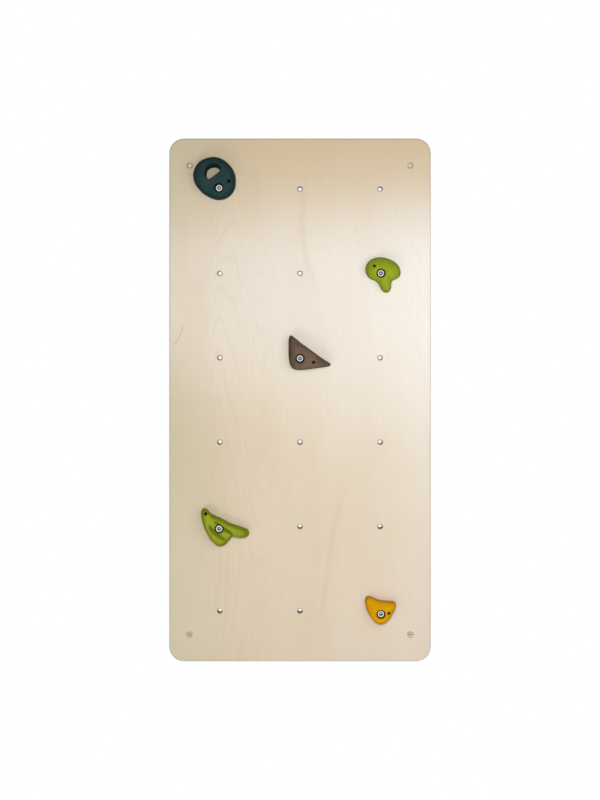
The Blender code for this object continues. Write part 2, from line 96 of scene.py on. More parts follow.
# %% A wire that can be reckoned with
class Wire:
    """A node's output. Signs such as + and * make Math nodes, and node() makes any other kind."""

    def __init__(self, tree, socket=None):
        self.tree = tree
        self.socket = socket

    def node(self, kind, settings=None, sockets=None, out=0):
        """A new node of any type, with its settings and the values or wires of its sockets."""
        made = self.tree.nodes.new("ShaderNode" + kind)
        for name, value in (settings or {}).items():
            setattr(made, name, value)
        for name, value in (sockets or {}).items():
            if isinstance(value, Wire):
                self.tree.links.new(value.socket, made.inputs[name])
            else:
                made.inputs[name].default_value = value
        return Wire(self.tree, made.outputs[out] if len(made.outputs) else None)

    def out(self, name):
        """Another output of the same node."""
        return Wire(self.tree, self.socket.node.outputs[name])

    def feed(self, shader, name):
        self.tree.links.new(self.socket, shader.inputs[name])

    def sum(self, operation, *values):
        return self.node("Math", {"operation": operation}, dict(enumerate(values)))

    def __add__(self, other):
        return self.sum("ADD", self, other)

    def __sub__(self, other):
        return self.sum("SUBTRACT", self, other)

    def __mul__(self, other):
        return self.sum("MULTIPLY", self, other)

    def __truediv__(self, other):
        return self.sum("DIVIDE", self, other)

    def __radd__(self, other):
        return self.sum("ADD", other, self)

    def __rsub__(self, other):
        return self.sum("SUBTRACT", other, self)

    def __rmul__(self, other):
        return self.sum("MULTIPLY", other, self)

    def __rtruediv__(self, other):
        return self.sum("DIVIDE", other, self)

    def __abs__(self):
        return self.sum("ABSOLUTE", self)

    def ease(self, start, end):
        """0 before start and 1 after end, with a soft way between. The start may be the higher one."""
        limits = {"Value": self, "From Min": start, "From Max": end}
        return self.node("MapRange", {"interpolation_type": "SMOOTHSTEP"}, limits)

    def between(self, first, second):
        """A colour between two, by this value: 0 gives the first and 1 the second."""
        colours = [(*c, 1.0) if isinstance(c, tuple) else c for c in (first, second)]
        sockets = {0: self, 6: colours[0], 7: colours[1]}
        return self.node("Mix", {"data_type": "RGBA"}, sockets, out=2)

    def stretched(self, by):
        """A place with its three directions scaled."""
        return self.node("VectorMath", {"operation": "MULTIPLY"}, {0: self, 1: by})

    def cloud(self, size, detail=2.0, rough=0.5, seed=0.0):
        """Soft noise at this place, with blots of about this size in metres."""
        sockets = {"Vector": self, "W": seed, "Scale": 1 / size, "Detail": detail, "Roughness": rough}
        return self.node("TexNoise", {"noise_dimensions": "4D"}, sockets)

    def grains(self, size):
        """How far this place is from the middle of the nearest grain, in grains of this size."""
        return self.node("TexVoronoi", None, {"Vector": self, "Scale": 1 / size})


print("wire ready")


# %% Helpers for finishes
def start_finish(name):
    """A new material, its shader and a first wire: the place on the piece, in the piece's own metres."""
    made = bpy.data.materials.new(name)
    made.use_nodes = True
    shader = made.node_tree.nodes["Principled BSDF"]
    spot = Wire(made.node_tree).node("TexCoord", out="Object")
    return made, shader, spot


def three_ways(spot):
    """The three numbers of a place."""
    parts = spot.node("SeparateXYZ", None, {0: spot})
    return parts, parts.out("Y"), parts.out("Z")


def distance(x, y):
    """How long the way is that goes this far across and this far up."""
    return x.sum("SQRT", x * x + y * y)


def darker(colour, share):
    return tuple(channel * share for channel in colour)


def rough_up(shader, height, depth, strength):
    """Bumps of this depth in metres, from a height between 0 and 1."""
    sockets = {"Height": height, "Distance": depth, "Strength": strength}
    height.node("Bump", None, sockets).feed(shader, "Normal")


print("finish helpers ready")

# %% [markdown]
# ## Light, floor and background
#
# The photograph was taken in a white room, with most of the light from beside the camera: the panel is
# bright right up to the holds and even inside the ring's pocket. A soft lamp on the right makes that side
# paler, helped by painted light in the birch's colour, and a weak one low on the left throws the faint
# shadows above the holds. A fourth lamp stands behind the panel for views of its back. The white room is the
# world's own light. The world and the floor show white to the camera and in reflections, so the background
# needs no extra light. Under the panel the floor stays a plain pale surface, which keeps the shadow.

# %% World
ROOM_LIGHT = 0.14
PURE_WHITE = (1.0, 1.0, 1.0, 1.0)


def seen_directly(wire):
    """1 for rays from the camera, from reflections and through clear pieces."""
    rays = wire.node("LightPath", out="Is Camera Ray")
    all_kinds = rays + rays.out("Is Glossy Ray") + rays.out("Is Transmission Ray")
    return all_kinds.sum("MINIMUM", all_kinds, 1.0)


world = bpy.data.worlds.new("white_room")
world.use_nodes = True
world.node_tree.nodes.clear()
scene.world = world
room = Wire(world.node_tree)
room_strength = ROOM_LIGHT + (1 - ROOM_LIGHT) * seen_directly(room)
room_colour = room.node("Background", None, {"Color": PURE_WHITE, "Strength": room_strength})
room.node("OutputWorld", None, {"Surface": room_colour})
print(f"room light {ROOM_LIGHT}")


# %% Lamps
def softbox(name, place, aim, size, watts):
    """A soft lamp that neither the camera nor a reflection shows."""
    light = bpy.data.lights.new(name, "AREA")
    light.shape = "RECTANGLE"
    light.size, light.size_y = size
    light.energy = watts
    lamp = bpy.data.objects.new(name, light)
    scene.collection.objects.link(lamp)
    lamp.location = place
    lamp.rotation_euler = (Vector(aim) - Vector(place)).to_track_quat("-Z", "Y").to_euler()
    lamp.visible_camera = False
    lamp.visible_glossy = False
    print(f"{name}: {watts} W from {place}")


softbox("front_lamp", (-0.10, -2.50, 0.42), (0.0, 0.0, 0.0), (0.5, 0.5), 30.0)
softbox("side_lamp", (0.80, -1.35, 0.18), (0.1, 0.0, 0.1), (1.0, 1.0), 6.8)
softbox("low_lamp", (-0.75, -1.35, -0.95), (0.0, 0.0, 0.05), (0.8, 0.4), 4.5)
softbox("back_lamp", (-0.40, 2.10, 0.60), (0.0, 0.0, 0.0), (1.2, 1.2), 20.0)

# %% Floor
FLOOR_LEVEL = -1.02
FLOOR_SIZE = 14.0
FLOOR_GREY = (0.80, 0.80, 0.80, 1.0)
FLOOR_ROUGHNESS = 0.9
SHADE_MIDDLE = (0.0, -0.30, FLOOR_LEVEL)
SHADE_FULL = 0.10
SHADE_END = 0.48
SHADE_SHARE = 0.55

floor_mesh = bpy.data.meshes.new("floor")
half = FLOOR_SIZE / 2
floor_corners = [(-half, -half, 0), (half, -half, 0), (half, half, 0), (-half, half, 0)]
floor_mesh.from_pydata(floor_corners, [], [(0, 1, 2, 3)])
floor = bpy.data.objects.new("floor", floor_mesh)
scene.collection.objects.link(floor)
floor.location.z = FLOOR_LEVEL

floor_paint, floor_shader, _ = start_finish("floor_paint")
floor_shader.inputs["Base Color"].default_value = FLOOR_GREY
floor_shader.inputs["Roughness"].default_value = FLOOR_ROUGHNESS
here = Wire(floor_paint.node_tree).node("NewGeometry", out="Position")
away = here.node("VectorMath", {"operation": "DISTANCE"}, {0: here, 1: SHADE_MIDDLE}, out="Value")
white = here.node("Emission", None, {"Color": PURE_WHITE, "Strength": 1.0})
lit = Wire(floor_paint.node_tree, floor_shader.outputs[0])
shown_white = seen_directly(here) * (1 - SHADE_SHARE * away.ease(SHADE_END, SHADE_FULL))
floor_mix = here.node("MixShader", None, {0: shown_white, 1: lit, 2: white})
floor_mix.feed(floor_paint.node_tree.nodes["Material Output"], "Surface")
floor_mesh.materials.append(floor_paint)
print(f"floor at {FLOOR_LEVEL} m")

# %% [markdown]
# ## Skins and cuts
#
# Most pieces here are skins over rings of points: the panel's edge, a bolt, a hold. Blender could also
# spin a profile or subdivide a rough cage, but rings keep every measure in plain sight. Holes are then cut
# with Boolean modifiers, which are made part of the mesh, so that no cutter stays behind. Each piece is
# drawn lying down, with X to the right, Y up the panel and Z out of the wall, and is stood up at the end.


# %% Skins and rings
def skin(bm, rings, closed):
    """Faces between rings of points. Its ends are capped, or joined to each other if closed."""
    loops = [[bm.verts.new(point) for point in ring] for ring in rings]
    pairs = list(zip(loops, loops[1:]))
    if closed:
        pairs.append((loops[-1], loops[0]))
    else:
        bm.faces.new(loops[0])
    for low, high in pairs:
        for i in range(len(low)):
            j = (i + 1) % len(low)
            corners = (low[i], low[j], high[0]) if len(high) == 1 else (low[i], low[j], high[j], high[i])
            bm.faces.new(corners)
    if not closed and len(loops[-1]) > 1:
        bm.faces.new(loops[-1])


def skinned(name, *skins, closed=False):
    """A mesh of one or more skins, each of them over its own rings of points."""
    bm = bmesh.new()
    for rings in skins:
        skin(bm, rings, closed)
    bmesh.ops.recalc_face_normals(bm, faces=bm.faces)
    mesh = bpy.data.meshes.new(name)
    bm.to_mesh(mesh)
    bm.free()
    return mesh


def ring_of(radius_at, level, sides):
    """A ring of points round the axis. A function of the turn gives the radius."""
    turns = [2 * math.pi * i / sides for i in range(sides)]
    return [(radius_at(t) * math.cos(t), radius_at(t) * math.sin(t), level) for t in turns]


def circle(radius, level, sides, middle=(0.0, 0.0)):
    return [(middle[0] + x, middle[1] + y, z) for x, y, z in ring_of(lambda turn: radius, level, sides)]


def lathed(name, steps, sides, spots=((0.0, 0.0),), closed=False):
    """A mesh of circles with these radii and levels, as if from a lathe, at one or more places."""
    skins = [[circle(radius, level, sides, spot) for radius, level in steps] for spot in spots]
    return skinned(name, *skins, closed=closed)


print("skins and rings ready")


# %% Cuts and joins
SMOOTH_FACTOR = 0.5


def loose(name, mesh):
    """An object at the origin, for work on its mesh."""
    made = bpy.data.objects.new(name, mesh)
    scene.collection.objects.link(made)
    return made


def worked(mesh, cutters=(), additions=(), voxel=0.0, soften=0):
    """The mesh with other skins cut out of it or joined on, then made even in small cells and smoothed."""
    body = loose("work", mesh)
    tools = []
    for operation, skins in (("DIFFERENCE", cutters), ("UNION", additions)):
        for tool_mesh in skins:
            tools.append(loose("tool", tool_mesh))
            boolean = body.modifiers.new("boolean", "BOOLEAN")
            boolean.operation = operation
            boolean.solver = "EXACT"
            boolean.object = tools[-1]
    if voxel:
        even = body.modifiers.new("even", "REMESH")
        even.mode = "VOXEL"
        even.voxel_size = voxel
        soft = body.modifiers.new("soft", "SMOOTH")
        soft.factor = SMOOTH_FACTOR
        soft.iterations = soften
    result = bpy.data.meshes.new_from_object(body.evaluated_get(bpy.context.evaluated_depsgraph_get()))
    for used in [body, *tools]:
        used_mesh = used.data
        bpy.data.objects.remove(used)
        bpy.data.meshes.remove(used_mesh)
    result.materials.clear()
    return result


print("cuts and joins ready")


# %% Pieces on the wall
def stand(name, mesh, finish, spot, body, node):
    """Puts a piece up on the wall in place of its solid, and lets it move with the solid's body."""
    if not mesh.materials:
        mesh.materials.append(finish)
    piece = loose(name, mesh)
    piece.location = (spot[0], 0.0, spot[1])
    piece.rotation_euler = (math.pi / 2, 0.0, 0.0)
    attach(piece, body)
    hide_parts(node)


def smooth_below(mesh, degrees):
    """Smooth shading, except over edges sharper than this."""
    mesh.shade_smooth()
    mesh.set_sharp_from_angle(angle=math.radians(degrees))


def middle_of(node):
    """Where a solid's middle lies on the panel."""
    low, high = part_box(node)
    return (low.x + high.x) / 2, (low.z + high.z) / 2


def faces_of(mesh):
    return f"{len(mesh.polygons)} faces"


print("pieces can stand")

# %% [markdown]
# ## The panel
#
# The panel is a multiplex sheet: thirteen thin birch layers glued crosswise. It was sawn to a rectangle with
# round corners, and its edges were eased with a router. Each grid hole is stepped: a wide shallow recess for
# the nut's flange at the back and a narrow bore to the front. The four corner holes are countersunk for
# wall screws. A plain box with a Bevel modifier would give the corners but not the two different roundings.

# %% Panel sizes
CORNER_RADIUS = 0.035
EDGE_RADIUS = 0.004
CORNER_STEPS = 16
EDGE_STEPS = 6
BORE_SIDES = 48
FIT_GAP = 0.0003
CUT_PAST = 0.005
BREAK_EDGE = 0.0004

FLANGE_RADIUS = 0.0125
FLANGE_BACK = 0.0003
FLANGE_FRONT = 0.0021
BARREL_RADIUS = 0.0061
PRONG_OUTER = 0.0115
PRONG_THICKNESS = 0.0020
PRONG_LENGTH = 0.0080
PRONG_HALF_TURN = math.radians(15)
FIRST_PRONG = 15
PRONG_TURNS = [math.radians(FIRST_PRONG + 90 * i) for i in range(4)]
SLOT_HALF_TURN = PRONG_HALF_TURN + math.radians(1.3)

SCREW_HOLE_RADIUS = 0.0027
COUNTERSINK_RADIUS = 0.0070
SCREW_INSET_SIDE = 0.048
SCREW_INSET_END = 0.064

NUT_NAMES = [name for name in sorted(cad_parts) if name.startswith("tee_nut_")]
print(f"{len(NUT_NAMES)} grid holes and 4 screw holes")


# %% Sheet
def rounded_sheet(inset, level):
    """The panel's outline, drawn in by the inset."""
    radius = CORNER_RADIUS - inset
    across = PANEL_WIDTH / 2 - CORNER_RADIUS
    up = PANEL_HEIGHT / 2 - CORNER_RADIUS
    points = []
    for quarter, (side_x, side_y) in enumerate(((1, 1), (-1, 1), (-1, -1), (1, -1))):
        for step in range(CORNER_STEPS + 1):
            turn = math.pi / 2 * (quarter + step / CORNER_STEPS)
            x = side_x * across + radius * math.cos(turn)
            points.append((x, side_y * up + radius * math.sin(turn), level))
    return points


def sheet_mesh():
    eased = []
    for step in range(EDGE_STEPS + 1):
        turn = math.pi / 2 * step / EDGE_STEPS
        eased.append((EDGE_RADIUS * (1 - math.sin(turn)), EDGE_RADIUS * (1 - math.cos(turn))))
    rings = [rounded_sheet(inset, level) for inset, level in eased]
    rings += [rounded_sheet(inset, PANEL_THICKNESS - level) for inset, level in reversed(eased)]
    return skinned("panel", rings)


print(f"corners of {CORNER_RADIUS * 1000:.0f} mm, edges of {EDGE_RADIUS * 1000:.0f} mm")


# %% Holes in the sheet
def stepped_bores():
    """A cutter for every grid hole: flange recess, bore and a broken front edge."""
    front = PANEL_THICKNESS
    bore = BARREL_RADIUS + FIT_GAP
    steps = (
        (FLANGE_RADIUS + FIT_GAP, -CUT_PAST), (FLANGE_RADIUS + FIT_GAP, FLANGE_FRONT + FIT_GAP),
        (bore, FLANGE_FRONT + FIT_GAP), (bore, front - BREAK_EDGE), (bore + BREAK_EDGE, front),
        (bore + BREAK_EDGE + CUT_PAST, front + CUT_PAST),
    )
    return lathed("bores", steps, BORE_SIDES, [middle_of(name) for name in NUT_NAMES])


def prong_section(turn, inner, outer, half_turn, level, middle=(0.0, 0.0)):
    corners = ((inner, -half_turn), (outer, -half_turn), (outer, half_turn), (inner, half_turn))
    return [
        (middle[0] + r * math.cos(turn + t), middle[1] + r * math.sin(turn + t), level) for r, t in corners
    ]


def prong_slots():
    """A cutter for the slots that the prongs press into the back of the panel."""
    inner = PRONG_OUTER - PRONG_THICKNESS - FIT_GAP
    outer = PRONG_OUTER + FIT_GAP
    levels = (FLANGE_BACK, FLANGE_FRONT + PRONG_LENGTH + FIT_GAP)
    slots = []
    for name in NUT_NAMES:
        spot = middle_of(name)
        for turn in PRONG_TURNS:
            slot = (turn, inner, outer, SLOT_HALF_TURN)
            slots.append([prong_section(*slot, level, spot) for level in levels])
    return skinned("prong_slots", *slots)


def screw_holes():
    sink = PANEL_THICKNESS - (COUNTERSINK_RADIUS - SCREW_HOLE_RADIUS)
    steps = (
        (SCREW_HOLE_RADIUS, -CUT_PAST), (SCREW_HOLE_RADIUS, sink), (COUNTERSINK_RADIUS, PANEL_THICKNESS),
        (COUNTERSINK_RADIUS + CUT_PAST, PANEL_THICKNESS + CUT_PAST),
    )
    across = PANEL_WIDTH / 2 - SCREW_INSET_SIDE
    up = PANEL_HEIGHT / 2 - SCREW_INSET_END
    spots = [(side * across, end * up) for side in (-1, 1) for end in (-1, 1)]
    return lathed("screw_holes", steps, BORE_SIDES, spots)


PANEL_SHARP = 30
panel_mesh = worked(sheet_mesh(), [stepped_bores(), prong_slots(), screw_holes()])
smooth_below(panel_mesh, PANEL_SHARP)
print("panel:", faces_of(panel_mesh))

# %% [markdown]
# ## Birch
#
# Peeled birch is pale and quiet: broad soft clouds, faint contour lines where the knife ran through the year
# rings, hair-fine fibres along the sheet and short brown flecks. The sheet also shows two warm streaks of
# heartwood and a thin line of bark at its left edge. A picture could be wrapped round the panel, but then
# the edges would show stretched face grain. Here the wood is solid: the depth under the face picks a
# layer, and each layer has its own grain, so edges, bores and countersinks show the layers by themselves.

# %% Birch: layers
LAYERS = 13
PALE_BIRCH = (0.955, 0.900, 0.825)
WARM_BIRCH = (0.690, 0.538, 0.345)
GREY_BIRCH = (0.570, 0.560, 0.400)
DARK_GRAIN = (0.520, 0.390, 0.250)
END_GRAIN = (0.430, 0.300, 0.180)
GLUE_LINE = (0.200, 0.120, 0.065)
LAYER_MARGIN = 0.00005
WOOD_BLUR = 0.0003

birch, birch_shader, spot = start_finish("birch_multiplex")
x, y, depth = three_ways(spot)
layer_place = (depth + LAYER_MARGIN) * (LAYERS / (PANEL_THICKNESS + 2 * LAYER_MARGIN))
layer = layer_place.sum("FLOOR", layer_place)
in_layer = layer_place - layer
crosswise = layer.sum("MODULO", layer, 2.0)
along = y + crosswise * (x - y)
across = x + crosswise * (y - x)
grain_spot = spot.node("CombineXYZ", None, {0: across, 1: along, 2: layer})
print(f"{LAYERS} layers of {PANEL_THICKNESS / LAYERS * 1000:.2f} mm")

# %% Birch: grain
GRAIN = {
    # scale along the grain, size across it in metres, detail, roughness, seed
    "clouds": (0.28, 0.11, 3.0, 0.55, 0.0),
    "contours": (0.10, 0.16, 1.0, 0.4, 3.0),
    "fibres": (0.016, 0.0011, 4.0, 0.65, 5.0),
    "flecks": (0.10, 0.0016, 1.0, 0.5, 9.0),
    "wander": (0.35, 0.05, 2.0, 0.5, 12.0),
}
CONTOURS_IN_FIELD = 46
CONTOURS_A_METRE = 90
CONTOUR_SHARE = 0.09
FIBRE_SHARE = 0.16
CLOUD_SHARE = 0.10
FLECK_SHARE = 0.16
LEFT_SHADE_SHARE = 0.45


def grain(kind):
    """Noise that is drawn out along the grain of its layer."""
    scale, size, detail, rough, seed = GRAIN[kind]
    return grain_spot.stretched((1.0, scale, 1.0)).cloud(size, detail, rough, seed)


clouds = grain("clouds")
contours = grain("contours") * CONTOURS_IN_FIELD + across * CONTOURS_A_METRE
contour_wave = contours.sum("SINE", contours * (2 * math.pi))
contour_lines = contour_wave.ease(0.35, 1.0)
contour_reach = x.ease(-0.02, -0.20) * 0.75 + 0.25
fibres = grain("fibres")
flecks = grain("flecks").ease(0.66, 0.74)
# Painted light: the sheet is painted palest on the right above its middle, as if a pool of light fell there,
# and painted warmer and darker towards both ends as shade. Soft clouds of real wood tone are mixed in.
painted_light_tone = 0.33 + 0.41 * y.ease(-0.19, 0.23) + x * (0.40 + 0.40 * y.ease(-0.35, 0.0))
painted_light_tone = painted_light_tone * y.ease(0.62, 0.30) + (clouds - 0.5) * 0.35
face_colour = painted_light_tone.ease(-0.15, 1.15).between(WARM_BIRCH, PALE_BIRCH)
# Painted shade: towards the left edge, where the painted light is low, the wood is painted greyer and
# darker.
painted_left_shade = x.ease(-0.05, -0.31) * painted_light_tone.ease(0.60, 0.10)
face_colour = (painted_left_shade * LEFT_SHADE_SHARE).between(face_colour, GREY_BIRCH)
grain_share = contour_lines * contour_reach * CONTOUR_SHARE + fibres.ease(0.45, 0.80) * FIBRE_SHARE
grain_share = grain_share + clouds.ease(0.5, 0.9) * CLOUD_SHARE
face_colour = grain_share.between(face_colour, DARK_GRAIN)
face_colour = (flecks * FLECK_SHARE).between(face_colour, END_GRAIN)
print("grain:", ", ".join(GRAIN))

# %% Birch: heartwood streaks and bark line
STREAKS = (
    # across at the middle, middle up the panel, lean, bend, half length
    (0.005, 0.42, -0.04, 1.1, 0.20),
    (0.068, -0.378, 0.15, 0.45, 0.22),
)
STREAK_HALF_WIDTH = 0.0075
STREAK_WANDER = 0.016
HEARTWOOD = (0.700, 0.470, 0.260)
BARK_MIDDLE = (-0.340, 0.176)
BARK_RADIUS = 0.061
BARK_HALF_WIDTH = 0.0012
BARK_LOW_END = (-0.047, -0.042)
BARK_HIGH_END = (0.010, -0.006)
BARK_SHARE = 0.35
BARK = (0.330, 0.170, 0.090)
on_face = depth.ease(PANEL_THICKNESS - 2 * WOOD_BLUR, PANEL_THICKNESS - WOOD_BLUR)

wander = (grain("wander") - 0.5) * STREAK_WANDER
for streak_x, streak_y, lean, bend, half_length in STREAKS:
    up = y - streak_y
    off = abs(x + wander - (streak_x + up * lean + up * up * bend)) / STREAK_HALF_WIDTH
    streak = off.ease(1.6, 0.1) * abs(up).ease(half_length, half_length * 0.35) * on_face
    face_colour = (streak * (0.10 + fibres * 0.22)).between(face_colour, HEARTWOOD)

bark_x = x - BARK_MIDDLE[0]
bark_y = y - BARK_MIDDLE[1]
bark_line = abs(distance(bark_x, bark_y) - BARK_RADIUS).ease(BARK_HALF_WIDTH * 1.8, BARK_HALF_WIDTH * 0.4)
bark_line = bark_line * bark_y.ease(*BARK_LOW_END) * bark_y.ease(*BARK_HIGH_END)
face_colour = (bark_line * on_face * BARK_SHARE).between(face_colour, BARK)
print(f"{len(STREAKS)} streaks and one bark line")

# %% Birch: edges and finish
SAWN_EDGE = (0.0032, 0.0012)
BORED_FROM_EDGE = (0.0045, 0.0055)
CORNER_BLUR = 0.001
CONE_RIM = (0.0011, 0.0004)
FIBRE_DEPTH = 0.00012

from_side = PANEL_WIDTH / 2 - abs(x)
from_end = PANEL_HEIGHT / 2 - abs(y)
side_nearer = (from_end - from_side).ease(-CORNER_BLUR, CORNER_BLUR)
nearest_edge = from_side.sum("MINIMUM", from_side, from_end)
edge_zone = nearest_edge.ease(*SAWN_EDGE)
sawn_across = side_nearer * crosswise + (1 - side_nearer) * (1 - crosswise)
inside_sheet = depth.ease(PANEL_THICKNESS - WOOD_BLUR, PANEL_THICKNESS - 3 * WOOD_BLUR)
inside_sheet = inside_sheet * depth.ease(WOOD_BLUR, 3 * WOOD_BLUR)
bored = inside_sheet * nearest_edge.ease(*BORED_FROM_EDGE)
screw_x = abs(x) - (PANEL_WIDTH / 2 - SCREW_INSET_SIDE)
screw_y = abs(y) - (PANEL_HEIGHT / 2 - SCREW_INSET_END)
from_screw = distance(screw_x, screw_y)
on_cone = from_screw.ease(COUNTERSINK_RADIUS, COUNTERSINK_RADIUS - 2 * WOOD_BLUR)
on_cone = on_cone * from_screw.ease(SCREW_HOLE_RADIUS, SCREW_HOLE_RADIUS + 2 * WOOD_BLUR)
cone_rim = abs(from_screw - COUNTERSINK_RADIUS).ease(*CONE_RIM)
end_pores = spot.cloud(0.0007, rough=0.6, seed=20.0)
# Painted light: the steep countersink cone, which lies in partial shade, is painted the pale face colour
# instead of end grain.
bored_share = bored * (0.60 + crosswise * 0.30) * (1 - on_cone * 0.95)
end_share = edge_zone * sawn_across * 0.62 + bored_share + cone_rim * 0.95
wood_colour = (end_share * (0.55 + end_pores * 0.7)).between(face_colour, END_GRAIN)
glue = abs(in_layer - 0.5).ease(0.42, 0.50) * (edge_zone * inside_sheet + bored)
wood_colour = (glue * 0.55).between(wood_colour, GLUE_LINE)
wood_colour.feed(birch_shader, "Base Color")
(0.43 + (fibres - 0.5) * 0.18 + end_share * 0.25).feed(birch_shader, "Roughness")
wood_relief = fibres * 0.6 + flecks * -0.5 + contour_lines * 0.2 + end_pores * end_share
rough_up(birch_shader, wood_relief, FIBRE_DEPTH, 0.5)

stand("climbing_panel", panel_mesh, birch, (0.0, 0.0), "wall_panel", "panel")
print("panel stands")

# %% [markdown]
# ## Zinc-plated steel
#
# Nuts and bolts are steel with a thin coat of bright zinc. It looks even from afar, but close up it has a
# slightly cloudy tint, small dull spots and fine marks from the lathe round its axis. A metal's base colour
# is the colour of its reflections, so the tint stays close to grey and most of the life is in the roughness.


# %% Zinc finish
COOL_ZINC = (0.70, 0.71, 0.72)
WARM_ZINC = (0.80, 0.79, 0.76)
DULL_ZINC = (0.46, 0.45, 0.43)
LATHE_STEP = 0.00042
PLATE_DEPTH = 0.00004
BORE_BLUR = 0.0001


def zinc(name, ring_marks, bore_radius, bore_front, bore_shade_tint, bright_middle):
    """Zinc plate with lathe marks round the piece's own axis. A bore is painted dark as shade, apart from a
    bright middle.
    """
    made, shader, spot = start_finish(name)
    x, y, level = three_ways(spot)
    from_axis = distance(x, y)
    haze = spot.cloud(0.0042, detail=3.0, rough=0.6)
    spots = spot.cloud(0.0011, seed=4.0).ease(0.58, 0.70)
    tint = haze.between(COOL_ZINC, WARM_ZINC)
    tint = (spots * 0.35).between(tint, DULL_ZINC)
    # Painted shade: the bore, up to its front, is painted dark.
    bore_shade = from_axis.ease(bore_radius + BORE_BLUR, bore_radius - BORE_BLUR)
    bore_shade = bore_shade * (bore_front - level).ease(0.0, 4 * BORE_BLUR)
    in_middle = from_axis.ease(bright_middle, bright_middle * 0.6)
    bore_shade = bore_shade * (1 - in_middle)
    bore_shade.between(tint, bore_shade_tint).feed(shader, "Base Color")
    shader.inputs["Metallic"].default_value = 1.0
    ((0.24 + haze * 0.14 + spots * 0.16) * (1 - in_middle * 0.7)).feed(shader, "Roughness")
    turned = from_axis.sum("SINE", from_axis * (2 * math.pi / LATHE_STEP)) * (0.5 * ring_marks)
    rough_up(shader, haze * 0.6 + turned + spots * -0.4, PLATE_DEPTH, 0.5)
    return made


HEAD_FRONT = 0.0486
BARREL_FRONT = 0.0138
KEY_CORNER_RADIUS = 0.0047
# Painted shade: the nut's barrel end and thread, sunk below the panel's face, are painted darker.
nut_zinc = zinc(
    "nut_zinc", ring_marks=0.25, bore_radius=BARREL_RADIUS + FIT_GAP, bore_front=BARREL_FRONT + 2 * FIT_GAP,
    bore_shade_tint=(0.29, 0.27, 0.235), bright_middle=0.0001,
)
# Painted shade: the hex socket's walls and the rim of its floor are painted near black.
bolt_zinc = zinc(
    "bolt_zinc", ring_marks=1.0, bore_radius=KEY_CORNER_RADIUS, bore_front=HEAD_FRONT,
    bore_shade_tint=(0.045, 0.042, 0.038), bright_middle=0.0021,
)
print("zinc ready")

# %% [markdown]
# ## Tee nuts
#
# A tee nut is pressed from sheet steel: a threaded barrel, a round flange and four prongs that were cut from
# the flange's rim and bent up, so that the nut can't turn when it is hammered into the wood. The thread is a
# real helix here. A texture would do from the front, but light falls through the free nuts, and their
# turns catch it. One function gives the thread's radius at any turn and level, and the bolt uses it too, so
# the two fit in each other at every pose.

# %% Thread
PITCH = 0.0015
THREAD_ROOT = 0.00418
THREAD_CREST = 0.00482
THREAD_PLAY = 0.00012
THREAD_SIDES = 36
ROWS_A_TURN = 6
CREST_SHARE = 0.08
FLANK_SHARE = 0.34
FADE_TURNS = 0.8


def thread_radius(turn, level):
    """The bolt's radius on a right-hand thread: flat crests and roots with straight flanks."""
    share = (level / PITCH - turn / (2 * math.pi)) % 1.0
    flank = min(max((abs(share - 0.5) - CREST_SHARE) / FLANK_SHARE, 0.0), 1.0)
    return THREAD_CREST + (THREAD_ROOT - THREAD_CREST) * flank


def thread_rings(start, end, play, flare):
    """Rings along a thread, wider by the play. The flare widens both ends, or narrows them if negative."""
    rows = round((end - start) / PITCH * ROWS_A_TURN)
    rings = []
    for row in range(rows + 1):
        level = start + (end - start) * row / rows
        from_end = min(level - start, end - level)
        fade = flare * max(1.0 - from_end / (PITCH * FADE_TURNS), 0.0)
        rings.append(ring_of(lambda turn: thread_radius(turn, level) + play + fade, level, THREAD_SIDES))
    return rings


print(f"thread of {PITCH * 1000} mm pitch")

# %% Tee nut shape
BARREL_FILLET = 0.0010
FLANGE_ROUND = 0.0005
NOTCH_DEPTH = 0.0009
BARREL_CHAMFER = 0.0003
MOUTH_WIDENING = 0.0005
NOTCH_SHARE = 0.9
PRONG_SUNK = 0.0002
PRONG_TAPER = 0.55
PRONG_STEPS = (
    # share of the height, share of the width, lean towards the axis in metres
    (0.0, 0.92, 0.0), (0.30, 0.80, 0.0), (0.62, 0.52, 0.00008), (0.88, 0.22, 0.00016), (1.0, 0.06, 0.00024),
)


def flange_ring(radius, level):
    """A ring of the flange, notched where the prongs were bent up."""
    def notched(turn):
        off = min(abs((turn - prong + math.pi) % (2 * math.pi) - math.pi) for prong in PRONG_TURNS)
        return radius - (NOTCH_DEPTH if off < PRONG_HALF_TURN * NOTCH_SHARE else 0.0)

    return ring_of(notched, level, THREAD_SIDES)


def tee_nut_shape():
    barrel = (
        (BARREL_RADIUS - BARREL_CHAMFER, BARREL_FRONT), (BARREL_RADIUS, BARREL_FRONT - BARREL_CHAMFER),
        (BARREL_RADIUS, FLANGE_FRONT + BARREL_FILLET),
        (BARREL_RADIUS + 0.3 * BARREL_FILLET, FLANGE_FRONT + 0.3 * BARREL_FILLET),
        (BARREL_RADIUS + BARREL_FILLET, FLANGE_FRONT),
    )
    flange = (
        (FLANGE_RADIUS - FLANGE_ROUND, FLANGE_FRONT), (FLANGE_RADIUS, FLANGE_FRONT - FLANGE_ROUND),
        (FLANGE_RADIUS, FLANGE_BACK + FLANGE_ROUND), (FLANGE_RADIUS - FLANGE_ROUND, FLANGE_BACK),
    )
    rings = [circle(radius, level, THREAD_SIDES) for radius, level in barrel]
    rings += [flange_ring(radius, level) for radius, level in flange]
    rings += thread_rings(FLANGE_BACK, BARREL_FRONT, THREAD_PLAY, MOUTH_WIDENING)
    return skinned("tee_nut", rings, closed=True)


